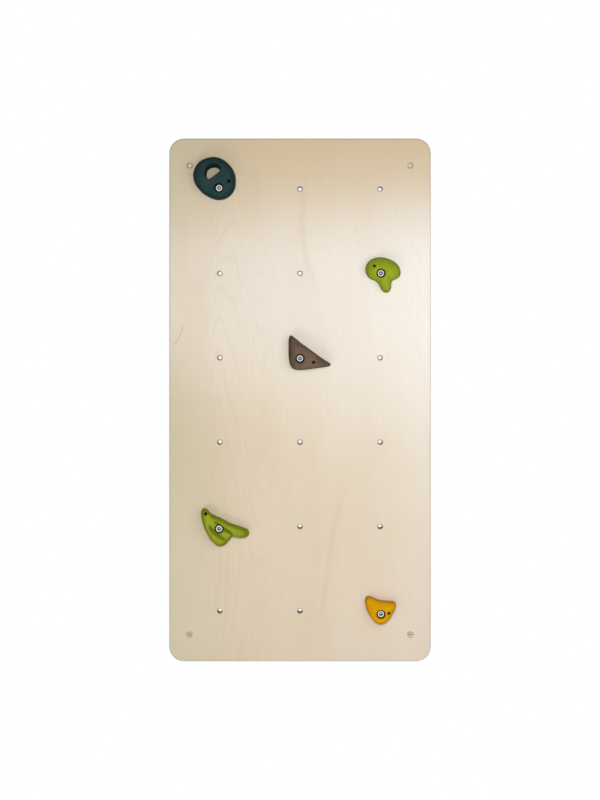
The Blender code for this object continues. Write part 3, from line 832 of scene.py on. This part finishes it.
def prong_shape(turn):
    rings = []
    for height, width, lean in PRONG_STEPS:
        outer = PRONG_OUTER - lean - PRONG_SUNK
        inner = outer - (PRONG_THICKNESS - 2 * PRONG_SUNK) * (1.0 - PRONG_TAPER * height)
        level = FLANGE_FRONT - PRONG_SUNK + (PRONG_LENGTH + PRONG_SUNK) * height
        rings.append(prong_section(turn, inner, outer, PRONG_HALF_TURN * width, level))
    return skinned("prong", rings)


NUT_SHARP = 35
tee_nut_mesh = worked(tee_nut_shape(), additions=[prong_shape(turn) for turn in PRONG_TURNS])
smooth_below(tee_nut_mesh, NUT_SHARP)
for name in NUT_NAMES:
    stand("nut_" + name[-2:], tee_nut_mesh, nut_zinc, middle_of(name), "wall_panel", name)
print(f"{len(NUT_NAMES)} tee nuts, each {faces_of(tee_nut_mesh)}")

# %% [markdown]
# ## Bolts and washers
#
# Each hold is held by one M10 socket head bolt on a black washer; that black also stands in as painted shade
# for the deep counterbore round the head. The head has a knurled side, turned chamfers and a hexagon socket
# with a drilled, pointed floor. All of it is one skin over rings that share the same number of points, so a
# hexagon can follow a circle without a single loose face.

# %% Bolt shape
HEAD_RADIUS = 0.0080
HEAD_BACK = 0.0386
HEAD_CHAMFER = 0.0008
HEAD_FOOT_IN = 0.0006
HEAD_FOOT_HEIGHT = 0.0004
KNURL_DEPTH = 0.00018
KNURL_INSET = 0.0010
KEY_RADIUS = 0.0040
KEY_ENTRY_WIDER = 0.0002
KEY_ENTRY_DEPTH = 0.0003
KEY_FLOOR_SHARE = 0.96
KEY_DEPTH = 0.0050
KEY_POINT = 0.0005
BOLT_TIP = 0.0036
TIP_LENGTH = 0.0012
SHANK_RADIUS = 0.0047
SHANK_SUNK = 0.0010
THREAD_END = 0.0290
RUN_OUT = 0.0006
THREAD_FADE = -0.0004
HEAD_SIDES = 72
TURNED_SHARP = 28


def knurled(radius, level, depth):
    """A ring with a tooth on every second point."""
    def toothed(turn):
        return radius - depth * (round(turn * HEAD_SIDES / (2 * math.pi)) % 2)

    return ring_of(toothed, level, HEAD_SIDES)


def hexagon(flat_radius, level):
    def six_sided(turn):
        return flat_radius / math.cos((turn % (math.pi / 3)) - math.pi / 6)

    return ring_of(six_sided, level, HEAD_SIDES)


def bolt_head_shape():
    entry = KEY_RADIUS / math.cos(math.pi / 6)
    rings = [
        circle(HEAD_RADIUS - HEAD_FOOT_IN, HEAD_BACK, HEAD_SIDES),
        knurled(HEAD_RADIUS, HEAD_BACK + HEAD_FOOT_HEIGHT, 0.0),
        knurled(HEAD_RADIUS, HEAD_BACK + KNURL_INSET, KNURL_DEPTH),
        knurled(HEAD_RADIUS, HEAD_FRONT - HEAD_CHAMFER - KNURL_INSET, KNURL_DEPTH),
        knurled(HEAD_RADIUS, HEAD_FRONT - HEAD_CHAMFER, 0.0),
        circle(HEAD_RADIUS - 0.4 * HEAD_CHAMFER, HEAD_FRONT - 0.35 * HEAD_CHAMFER, HEAD_SIDES),
        circle(HEAD_RADIUS - HEAD_CHAMFER, HEAD_FRONT, HEAD_SIDES),
        circle(entry + KEY_ENTRY_WIDER, HEAD_FRONT, HEAD_SIDES),
        hexagon(KEY_RADIUS, HEAD_FRONT - KEY_ENTRY_DEPTH),
        hexagon(KEY_RADIUS, HEAD_FRONT - KEY_DEPTH),
        circle(KEY_RADIUS * KEY_FLOOR_SHARE, HEAD_FRONT - KEY_DEPTH, HEAD_SIDES),
        [(0.0, 0.0, HEAD_FRONT - KEY_DEPTH - KEY_POINT)],
    ]
    return skinned("bolt_head", rings)


def shank_shape():
    rings = [
        circle(THREAD_ROOT - RUN_OUT, BOLT_TIP, THREAD_SIDES),
        *thread_rings(BOLT_TIP + TIP_LENGTH, THREAD_END, 0.0, THREAD_FADE),
        circle(THREAD_ROOT, THREAD_END + RUN_OUT, THREAD_SIDES),
        circle(SHANK_RADIUS, THREAD_END + 2 * RUN_OUT, THREAD_SIDES),
        circle(SHANK_RADIUS, HEAD_BACK + SHANK_SUNK, THREAD_SIDES),
    ]
    return skinned("shank", rings)


bolt_mesh = worked(bolt_head_shape(), additions=[shank_shape()])
smooth_below(bolt_mesh, TURNED_SHARP)
print("bolt:", faces_of(bolt_mesh))

# %% Washer shape and finish
WASHER_INNER = 0.0055
WASHER_OUTER = 0.0090
WASHER_BACK = 0.0363
WASHER_FRONT = 0.0383
WASHER_CHAMFER = 0.0003
WASHER_SIDES = 64
# Painted shade: the washer's near-black stands for the shade deep in the counterbore, as well as its black
# finish.
BLACK_OXIDE_AND_SHADE = (0.012, 0.012, 0.013)
PALE_OXIDE = (0.030, 0.029, 0.028)
BARE_STEEL = (0.20, 0.20, 0.20)
OXIDE_DEPTH = 0.00005


def washer_shape():
    cut = WASHER_CHAMFER
    profile = (
        (WASHER_INNER, WASHER_BACK + cut), (WASHER_INNER, WASHER_FRONT - cut),
        (WASHER_INNER + cut, WASHER_FRONT), (WASHER_OUTER - cut, WASHER_FRONT),
        (WASHER_OUTER, WASHER_FRONT - cut), (WASHER_OUTER, WASHER_BACK + cut),
        (WASHER_OUTER - cut, WASHER_BACK), (WASHER_INNER + cut, WASHER_BACK),
    )
    return lathed("washer", profile, WASHER_SIDES, closed=True)


def black_oxide_and_shade():
    """Blackened steel that also serves as painted shade deep in the counterbore, and shows grey where its
    rims are worn.
    """
    made, shader, spot = start_finish("washer_black_and_shade")
    x, y, _ = three_ways(spot)
    haze = spot.cloud(0.0030, detail=3.0, rough=0.6)
    rim = distance(x, y).ease(WASHER_OUTER - 2 * WASHER_CHAMFER, WASHER_OUTER) * haze.ease(0.45, 0.60)
    black = haze.between(BLACK_OXIDE_AND_SHADE, PALE_OXIDE)
    (rim * 0.6).between(black, BARE_STEEL).feed(shader, "Base Color")
    shader.inputs["Metallic"].default_value = 0.7
    (0.48 + haze * 0.15 - rim * 0.15).feed(shader, "Roughness")
    rough_up(shader, haze, OXIDE_DEPTH, 0.5)
    return made


washer_mesh = washer_shape()
smooth_below(washer_mesh, TURNED_SHARP)
washer_black_and_shade = black_oxide_and_shade()
HOLD_NAMES = ("ring", "mushroom", "fin", "leaf", "wedge")
for hold in HOLD_NAMES:
    centre = middle_of(hold + "_bolt")
    stand(hold + "_head_bolt", bolt_mesh, bolt_zinc, centre, hold + "_bolt", hold + "_bolt")
    node = hold + "_washer"
    stand(hold + "_black_washer_and_shade", washer_mesh, washer_black_and_shade, centre, node, node)
print(f"{len(HOLD_NAMES)} bolts and washers")

# %% [markdown]
# ## How the holds are moulded
#
# Holds are cast from resin mixed with sand, which gives good grip. Each one has a smooth outline on the
# panel, a short upright rim and a top that rounds over. The rings of such a shape are its outline, drawn in
# towards a middle point while the height rises, and a function of its own gives every hold's top. Then the
# bolt's stepped way and a small pin hole are cut. At the end the skin is made even in one-millimetre cells
# and smoothed, which rounds all edges a little, as a mould does. Sculpting by hand would look as good but
# can't be repeated.

# %% Hold sizes
HOLD_BASE = PANEL_THICKNESS + FIT_GAP
SEAT = 0.036
COUNTERBORE_RADIUS = 0.0106
BOLT_WAY_RADIUS = 0.0058
PIN_RADIUS = 0.0034
PIN_SHANK_RADIUS = 0.0015
PIN_SHOULDER = PANEL_THICKNESS + 0.006
OUTLINE_STEP = 0.0015
SIDE_RINGS = 12
TOP_RINGS = 22
SIDE_TURN = math.radians(50)
CELL = 0.0010
SOFTEN = 3
CUTTER_SIDES = 48
CUTTER_TOP = SEAT + 0.06
print(f"bolt heads sit {(SEAT - PANEL_THICKNESS) * 1000:.0f} mm off the panel")


# %% Domes
def smooth_outline(corners, facets=None):
    """A closed smooth curve through the corners, with this many facets a span or else even ones."""
    corners = [Vector((*corner, 0.0)) for corner in corners]
    count = len(corners)
    tangents = [(corners[(i + 1) % count] - corners[i - 1]).normalized() for i in range(count)]
    points = []
    for i, start in enumerate(corners):
        end = corners[(i + 1) % count]
        span = (end - start).length
        leave = start + tangents[i] * span / 3
        arrive = end - tangents[(i + 1) % count] * span / 3
        steps = facets or math.ceil(span / OUTLINE_STEP)
        points += interpolate_bezier(start, leave, arrive, end, steps + 1)[:-1]
    return points


def dome(outline, middle, rim, fullness, top):
    """A skin that stands upright at the rim and rounds over to the top."""
    outline = smooth_outline(outline)
    middle = Vector((*middle, 0.0))
    rings = [[(p.x, p.y, level) for p in outline] for level in (HOLD_BASE, PANEL_THICKNESS + rim)]
    side = [math.cos(SIDE_TURN * i / SIDE_RINGS) ** (2 / fullness) for i in range(1, SIDE_RINGS + 1)]
    for reach in side + [side[-1] * (1 - i / TOP_RINGS) for i in range(1, TOP_RINGS + 1)]:
        ring = []
        for point in outline if reach else outline[:1]:
            p = middle.lerp(point, reach)
            risen = math.sqrt(1 - reach ** fullness)
            ring.append((p.x, p.y, PANEL_THICKNESS + rim + (top(p.x, p.y) - rim) * risen))
        rings.append(ring)
    return skinned("dome", rings)


print(f"domes of {SIDE_RINGS + TOP_RINGS} rings")


# %% Cutters and moulding
def stepped_way(narrow, wide, shoulder, spot):
    """A cutter for a fastener's way in: narrow for its shank, and wide from the shoulder up for its head."""
    steps = ((narrow, 0.0), (narrow, shoulder), (wide, shoulder), (wide, CUTTER_TOP))
    return lathed("stepped_way", steps, CUTTER_SIDES, [spot])


def moulded(hold, shape, pin, more_cutters=()):
    """Cuts and softens a hold's skin, and stands it on the wall."""
    bolt_way = stepped_way(BOLT_WAY_RADIUS, COUNTERBORE_RADIUS, SEAT, (0.0, 0.0))
    pin_hole = stepped_way(PIN_SHANK_RADIUS, PIN_RADIUS, PIN_SHOULDER, pin)
    mesh = worked(shape, [bolt_way, pin_hole, *more_cutters], voxel=CELL, soften=SOFTEN)
    mesh.shade_smooth()
    node = hold + "_hold"
    finish = resin(hold, pin, max(vertex.co.z for vertex in mesh.vertices))
    stand(hold + "_grip", mesh, finish, middle_of(hold + "_bolt"), node, node)
    print(f"{hold}: {faces_of(mesh)}")


print(f"cells of {CELL * 1000} mm")


# %% Ridges
def ridge(x, y, spine, top, half_width, fall):
    """The height of a rounded ridge along a spine of points."""
    here = Vector((x, y))
    nearest = []
    for start, end in zip(spine, spine[1:]):
        start, end = Vector(start), Vector(end)
        share = intersect_point_line(here, start, end)[1]
        nearest.append((here - start.lerp(end, min(max(share, 0.0), 1.0))).length)
    return top - fall * (min(nearest) / half_width) ** 2


def soft_higher(first, second, blend):
    """The higher of two heights, with the crease between them rounded over the blend."""
    near = max(blend - abs(first - second), 0.0) / blend
    return max(first, second) + near * near * blend / 4


print("ridges ready")

# %% [markdown]
# ## Sanded resin
#
# The resin is coloured right through and matt. Under a lens it is a bed of sand grains, some paler and some
# darker, with small pits where bubbles broke, and the colour clouds a little where the pigment was stirred.
# Shade is painted into the colour: the lower a place lies under the front, the darker it is painted, so
# grooves and flanks are painted dark and the holes darker still. The five holds share one recipe and differ
# in pigment, so that a learner can see what a single value does.

# %% Resin recipe
PIGMENTS = {
    # plain colour, colour of the darker clouds, how much the grains differ, depth below the top where
    # painted shade starts
    "ring": ((0.0245, 0.0560, 0.0545), (0.0150, 0.0400, 0.0430), 0.45, 0.006),
    "mushroom": ((0.320, 0.395, 0.0210), (0.250, 0.315, 0.0140), 0.22, 0.013),
    "fin": ((0.177, 0.120, 0.082), (0.112, 0.074, 0.046), 0.30, 0.007),
    "leaf": ((0.335, 0.390, 0.0240), (0.260, 0.305, 0.0160), 0.22, 0.0030),
    "wedge": ((0.810, 0.400, 0.0030), (0.690, 0.325, 0.0020), 0.18, 0.012),
}
DARK_BOLT_WAY = (COUNTERBORE_RADIUS + 0.0004, COUNTERBORE_RADIUS - 0.0002)
DARK_PIN_HOLE = (PIN_RADIUS + 0.0005, PIN_RADIUS - 0.0001)
PAINTED_SHADE_FADE = 0.008
SAND_SIZE = 0.00075
SAND_DEPTH = 0.00030
MATT_SHINE = 0.06


def resin(hold, pin, top):
    """Sanded resin in a hold's own pigment, with painted shade: darker the lower it lies under its top, and
    dark inside its holes.
    """
    plain, dark, contrast, unshaded_depth = PIGMENTS[hold]
    made, shader, spot = start_finish(hold + "_sanded_resin")
    x, y, level = three_ways(spot)
    # Painted shade: the lower a place lies under the hold's top, past the unshaded depth, the darker it is
    # painted.
    painted_low_shade = (top - level).ease(unshaded_depth, unshaded_depth + PAINTED_SHADE_FADE)
    # Painted shade: masks for the counterbore round the bolt and for the pin hole, which are painted dark.
    bolt_way_shade = distance(x, y).ease(*DARK_BOLT_WAY)
    pin_hole_shade = distance(x - pin[0], y - pin[1]).ease(*DARK_PIN_HOLE)
    stir = spot.cloud(0.022, detail=3.0, rough=0.55)
    sand = spot.grains(SAND_SIZE)
    sand_tone = spot.cloud(0.0009, rough=0.6, seed=2.0)
    pits = spot.cloud(0.0024, seed=6.0).ease(0.66, 0.74)
    pale = tuple(min(channel * 1.25 + 0.006, 1.0) for channel in plain)
    cloudy = (stir.ease(0.35, 0.72) * 0.75).between(plain, dark)
    grained = (sand_tone.ease(0.52, 0.74) * contrast).between(cloudy, pale)
    grained = (sand_tone.ease(0.46, 0.28) * contrast).between(grained, darker(dark, 0.45))
    grained = (pits * 0.5).between(grained, darker(dark, 0.5))
    # Painted shade on flanks and in grooves, then in the pin hole and the counterbore.
    grained = (painted_low_shade * 0.60).between(grained, darker(dark, 0.5))
    grained = (pin_hole_shade * 0.95).between(grained, darker(dark, 0.1))
    (bolt_way_shade * 0.85).between(grained, darker(dark, 0.14)).feed(shader, "Base Color")
    (0.60 + stir * 0.12 + sand_tone * 0.14).feed(shader, "Roughness")
    shader.inputs["Specular IOR Level"].default_value = MATT_SHINE
    rough_up(shader, (1 - sand) * 0.55 + sand_tone * 0.45 - pits * 0.7, SAND_DEPTH, 0.55)
    return made


print(f"{len(PIGMENTS)} pigments")

# %% [markdown]
# ## Ring hold
#
# The blue-black hold at the top left is a full oval dome with a half-moon finger pocket right through it.
# The pocket is a funnel: wider at the front and straight-lipped towards the bolt, so the cutter is a skin
# between two outlines.

# %% Ring
RING_TOP = 0.0440
RING_PIN = (0.0232, 0.0152)
RING_OUTLINE = (
    (0.0355, -0.001), (0.038, 0.017), (0.036, 0.035), (0.026, 0.0535), (0.008, 0.069),
    (-0.012, 0.075), (-0.034, 0.071), (-0.052, 0.059), (-0.062, 0.037), (-0.059, 0.014),
    (-0.045, -0.0055), (-0.028, -0.0185), (-0.008, -0.026), (0.012, -0.0245), (0.027, -0.0145),
)
POCKET_AT_PANEL = (
    (0.0000, 0.0415), (-0.0035, 0.0475), (-0.0115, 0.0505), (-0.0215, 0.0485), (-0.029, 0.042),
    (-0.031, 0.033), (-0.029, 0.0245), (-0.0245, 0.0215), (-0.0125, 0.0300),
)
POCKET_AT_FRONT = (
    (0.0055, 0.043), (0.0025, 0.054), (-0.0085, 0.0615), (-0.022, 0.060), (-0.032, 0.0505),
    (-0.035, 0.037), (-0.032, 0.0245), (-0.0255, 0.0195), (-0.0105, 0.0285),
)
POCKET_FACETS = 8
POCKET_STRAIGHT = 0.008


def finger_pocket():
    """A funnel between two outlines with as many points each."""
    back = smooth_outline(POCKET_AT_PANEL, POCKET_FACETS)
    front = smooth_outline(POCKET_AT_FRONT, POCKET_FACETS)
    above = PANEL_THICKNESS + RING_TOP + CUT_PAST
    levels = ((back, 0.0), (back, HOLD_BASE + POCKET_STRAIGHT), (front, above))
    return skinned("finger_pocket", [[(p.x, p.y, level) for p in outline] for outline, level in levels])


def ring_top(x, y):
    return RING_TOP


ring_shape = dome(RING_OUTLINE, middle=(-0.010, 0.024), rim=0.0080, fullness=4.5, top=ring_top)
moulded("ring", ring_shape, RING_PIN, [finger_pocket()])

# %% [markdown]
# ## Mushroom hold
#
# The olive hold is a bean-shaped cap on a short stem. Two low ridges, one across the cap and one down the
# stem, give its top, and a wide blend between them keeps it as soft as the real one.

# %% Mushroom
MUSHROOM_OUTLINE = (
    (0.0475, 0.000), (0.0455, 0.0125), (0.038, 0.0235), (0.025, 0.032), (0.010, 0.0368),
    (-0.003, 0.0382), (-0.016, 0.0352), (-0.0275, 0.0275), (-0.0345, 0.0155), (-0.0345, 0.003),
    (-0.0295, -0.008), (-0.0205, -0.0145), (-0.010, -0.0195), (-0.0033, -0.027),
    (0.0030, -0.039), (0.0080, -0.0440), (0.0145, -0.0460), (0.0210, -0.0430), (0.0250, -0.0345),
    (0.0252, -0.024), (0.0280, -0.0180), (0.035, -0.0142), (0.0435, -0.0095),
)
MUSHROOM_PIN = (-0.0155, 0.0170)
CAP_SPINE = ((-0.018, 0.012), (0.028, 0.008))
STEM_SPINE = ((0.010, 0.004), (0.0145, -0.036))
CAP_TOP = 0.0370
STEM_TOP = 0.0335
CAP_HALF_WIDTH = 0.030
STEM_HALF_WIDTH = 0.022
MUSHROOM_FALL = 0.006
MUSHROOM_BLEND = 0.010


def mushroom_top(x, y):
    cap = ridge(x, y, CAP_SPINE, CAP_TOP, CAP_HALF_WIDTH, MUSHROOM_FALL)
    stem = ridge(x, y, STEM_SPINE, STEM_TOP, STEM_HALF_WIDTH, MUSHROOM_FALL)
    return soft_higher(cap, stem, MUSHROOM_BLEND)


mushroom_shape = dome(MUSHROOM_OUTLINE, middle=(0.005, 0.002), rim=0.0070, fullness=3.2, top=mushroom_top)
moulded("mushroom", mushroom_shape, MUSHROOM_PIN)

# %% [markdown]
# ## Fin hold
#
# The brown hold is a sharp triangle with a flat front and a left flank that slopes away from it. The flank
# is a plain function of the place: the front's height falls off beyond a line.

# %% Fin
FIN_OUTLINE = (
    (0.0710, -0.0130), (0.0728, -0.0162), (0.0695, -0.0190), (0.039, -0.0240), (0.009, -0.0278),
    (-0.006, -0.0280), (-0.016, -0.0255), (-0.0222, -0.019), (-0.0252, -0.010), (-0.0268, 0.0026),
    (-0.0273, 0.020), (-0.0272, 0.038), (-0.0262, 0.0475), (-0.0230, 0.0530), (-0.0180, 0.0515),
    (-0.0085, 0.0443), (0.006, 0.0327), (0.020, 0.0227), (0.036, 0.011), (0.054, -0.0018),
)
FIN_PIN = (0.0316, -0.0086)
FIN_TOP = 0.0390
FLANK_START = -0.0115
FLANK_SLOPE = 0.95


def fin_top(x, y):
    return FIN_TOP - FLANK_SLOPE * max(FLANK_START - x, 0.0)


fin_shape = dome(FIN_OUTLINE, middle=(0.002, -0.003), rim=0.0060, fullness=7.0, top=fin_top)
moulded("fin", fin_shape, FIN_PIN)

# %% [markdown]
# ## Leaf hold
#
# The lime hold fans out from one tip into a long finger, a wedge that carries the bolt and a broad lobe.
# Three low ridges round their fronts, and a V-shaped groove is cut on each side of the wedge. A groove
# starts at the hold's side and runs out towards the tip, where its last section is a single point above the
# surface.

# %% Leaf
LEAF_OUTLINE = (
    (0.070, -0.0140), (0.065, -0.0055), (0.056, -0.0015), (0.0435, 0.003), (0.024, 0.0095),
    (0.008, 0.0185), (-0.008, 0.0255), (-0.021, 0.0325), (-0.029, 0.0410), (-0.0368, 0.0447),
    (-0.0428, 0.0390), (-0.0430, 0.026), (-0.0395, 0.009), (-0.0315, -0.0110), (-0.020, -0.0298),
    (-0.010, -0.0395), (0.002, -0.0450), (0.0135, -0.0412), (0.0235, -0.0305), (0.0318, -0.0208),
    (0.042, -0.0230), (0.054, -0.0245), (0.0650, -0.0222),
)
FINGER_SPINE = ((-0.034, 0.040), (-0.016, 0.0295), (0.009, 0.0145), (0.035, -0.001), (0.060, -0.0125))
WEDGE_SPINE = ((-0.030, 0.026), (0.001, -0.003), (0.024, -0.0195))
LOBE_SPINE = ((-0.036, 0.036), (-0.030, 0.002), (-0.015, -0.0225), (0.004, -0.0335))
LEAF_PIN = (-0.0315, 0.0352)
LEAF_TOP = 0.0380
WEDGE_DROP = 0.001
RIDGE_HALF_WIDTH = 0.010
RIDGE_FALL = 0.003
GROOVES = (
    ((0.035, -0.021), (0.024, -0.008), (0.0096, 0.001), (-0.006, 0.0138), (-0.0227, 0.0261)),
    (
        (0.022, -0.036), (0.0096, -0.024), (0.0004, -0.0175), (-0.0125, -0.0083),
        (-0.020, 0.001), (-0.029, 0.022),
    ),
)
GROOVE_DEPTH = 0.0130
GROOVE_HALF_WIDTH = 0.0058


def leaf_top(x, y):
    finger = ridge(x, y, FINGER_SPINE, LEAF_TOP, RIDGE_HALF_WIDTH, RIDGE_FALL)
    wedge = ridge(x, y, WEDGE_SPINE, LEAF_TOP - WEDGE_DROP, RIDGE_HALF_WIDTH, RIDGE_FALL)
    lobe = ridge(x, y, LOBE_SPINE, LEAF_TOP, RIDGE_HALF_WIDTH, RIDGE_FALL)
    return soft_higher(soft_higher(finger, wedge, RIDGE_FALL), lobe, RIDGE_FALL)


def leaf_grooves():
    """A cutter with a V section along each groove."""
    top = PANEL_THICKNESS + LEAF_TOP
    above = top + CUT_PAST
    spread = GROOVE_HALF_WIDTH * (1 + CUT_PAST / GROOVE_DEPTH)
    grooves = []
    for route in GROOVES:
        spots = [Vector(spot) for spot in route]
        rings = []
        for i, spot in enumerate(spots[:-1]):
            along = (spots[i + 1] - spots[max(i - 1, 0)]).normalized()
            side = Vector((-along.y, along.x)) * spread
            rings.append([(*(spot + side), above), (*spot, top - GROOVE_DEPTH), (*(spot - side), above)])
        rings.append([(*spots[-1], above)])
        grooves.append(rings)
    return skinned("leaf_grooves", *grooves)


leaf_shape = dome(LEAF_OUTLINE, middle=(-0.004, 0.000), rim=0.0060, fullness=5.0, top=leaf_top)
moulded("leaf", leaf_shape, LEAF_PIN, [leaf_grooves()])

# %% [markdown]
# ## Wedge hold
#
# The amber hold is a rounded triangle that points down. Its front is flat on the right and falls away on the
# lower left. A soft crease marks the edge between the two, first straight and then round the bolt's boss.

# %% Wedge
WEDGE_OUTLINE = (
    (0.0370, 0.0165), (0.0330, 0.0232), (0.0225, 0.0248), (0.009, 0.0255), (-0.003, 0.0275),
    (-0.013, 0.0310), (-0.0235, 0.0357), (-0.0315, 0.0357), (-0.0363, 0.0285), (-0.0353, 0.016),
    (-0.031, 0.001), (-0.0230, -0.0125), (-0.0132, -0.0238), (-0.001, -0.0292), (0.0110, -0.0265),
    (0.0200, -0.0180), (0.0280, -0.0065), (0.0340, 0.006),
)
WEDGE_PIN = (0.0185, 0.0024)
WEDGE_TOP = 0.0370
FACET_WAY = (-0.77, -0.64)
FACET_START = -0.0035
FACET_SLOPE = 0.35
BOSS_RADIUS = 0.0145
CREASE_WIDTH = 0.0018
CREASE_DEPTH = 0.0060
CREASE_END = 0.014
CREASE_FADE = 0.010


def wedge_top(x, y):
    """Flat, with a facet that falls away to the lower left of the bolt's boss, and a crease on its edge."""
    past_line = x * FACET_WAY[0] + y * FACET_WAY[1] - FACET_START
    past_edge = min(past_line, math.hypot(x, y) - BOSS_RADIUS)
    on_left = min(max((CREASE_END - x) / CREASE_FADE, 0.0), 1.0)
    crease = CREASE_DEPTH * on_left * math.exp(-((past_edge / CREASE_WIDTH) ** 2))
    return WEDGE_TOP - FACET_SLOPE * max(past_edge, 0.0) - crease


wedge_shape = dome(WEDGE_OUTLINE, middle=(-0.001, 0.004), rim=0.0060, fullness=3.6, top=wedge_top)
moulded("wedge", wedge_shape, WEDGE_PIN)
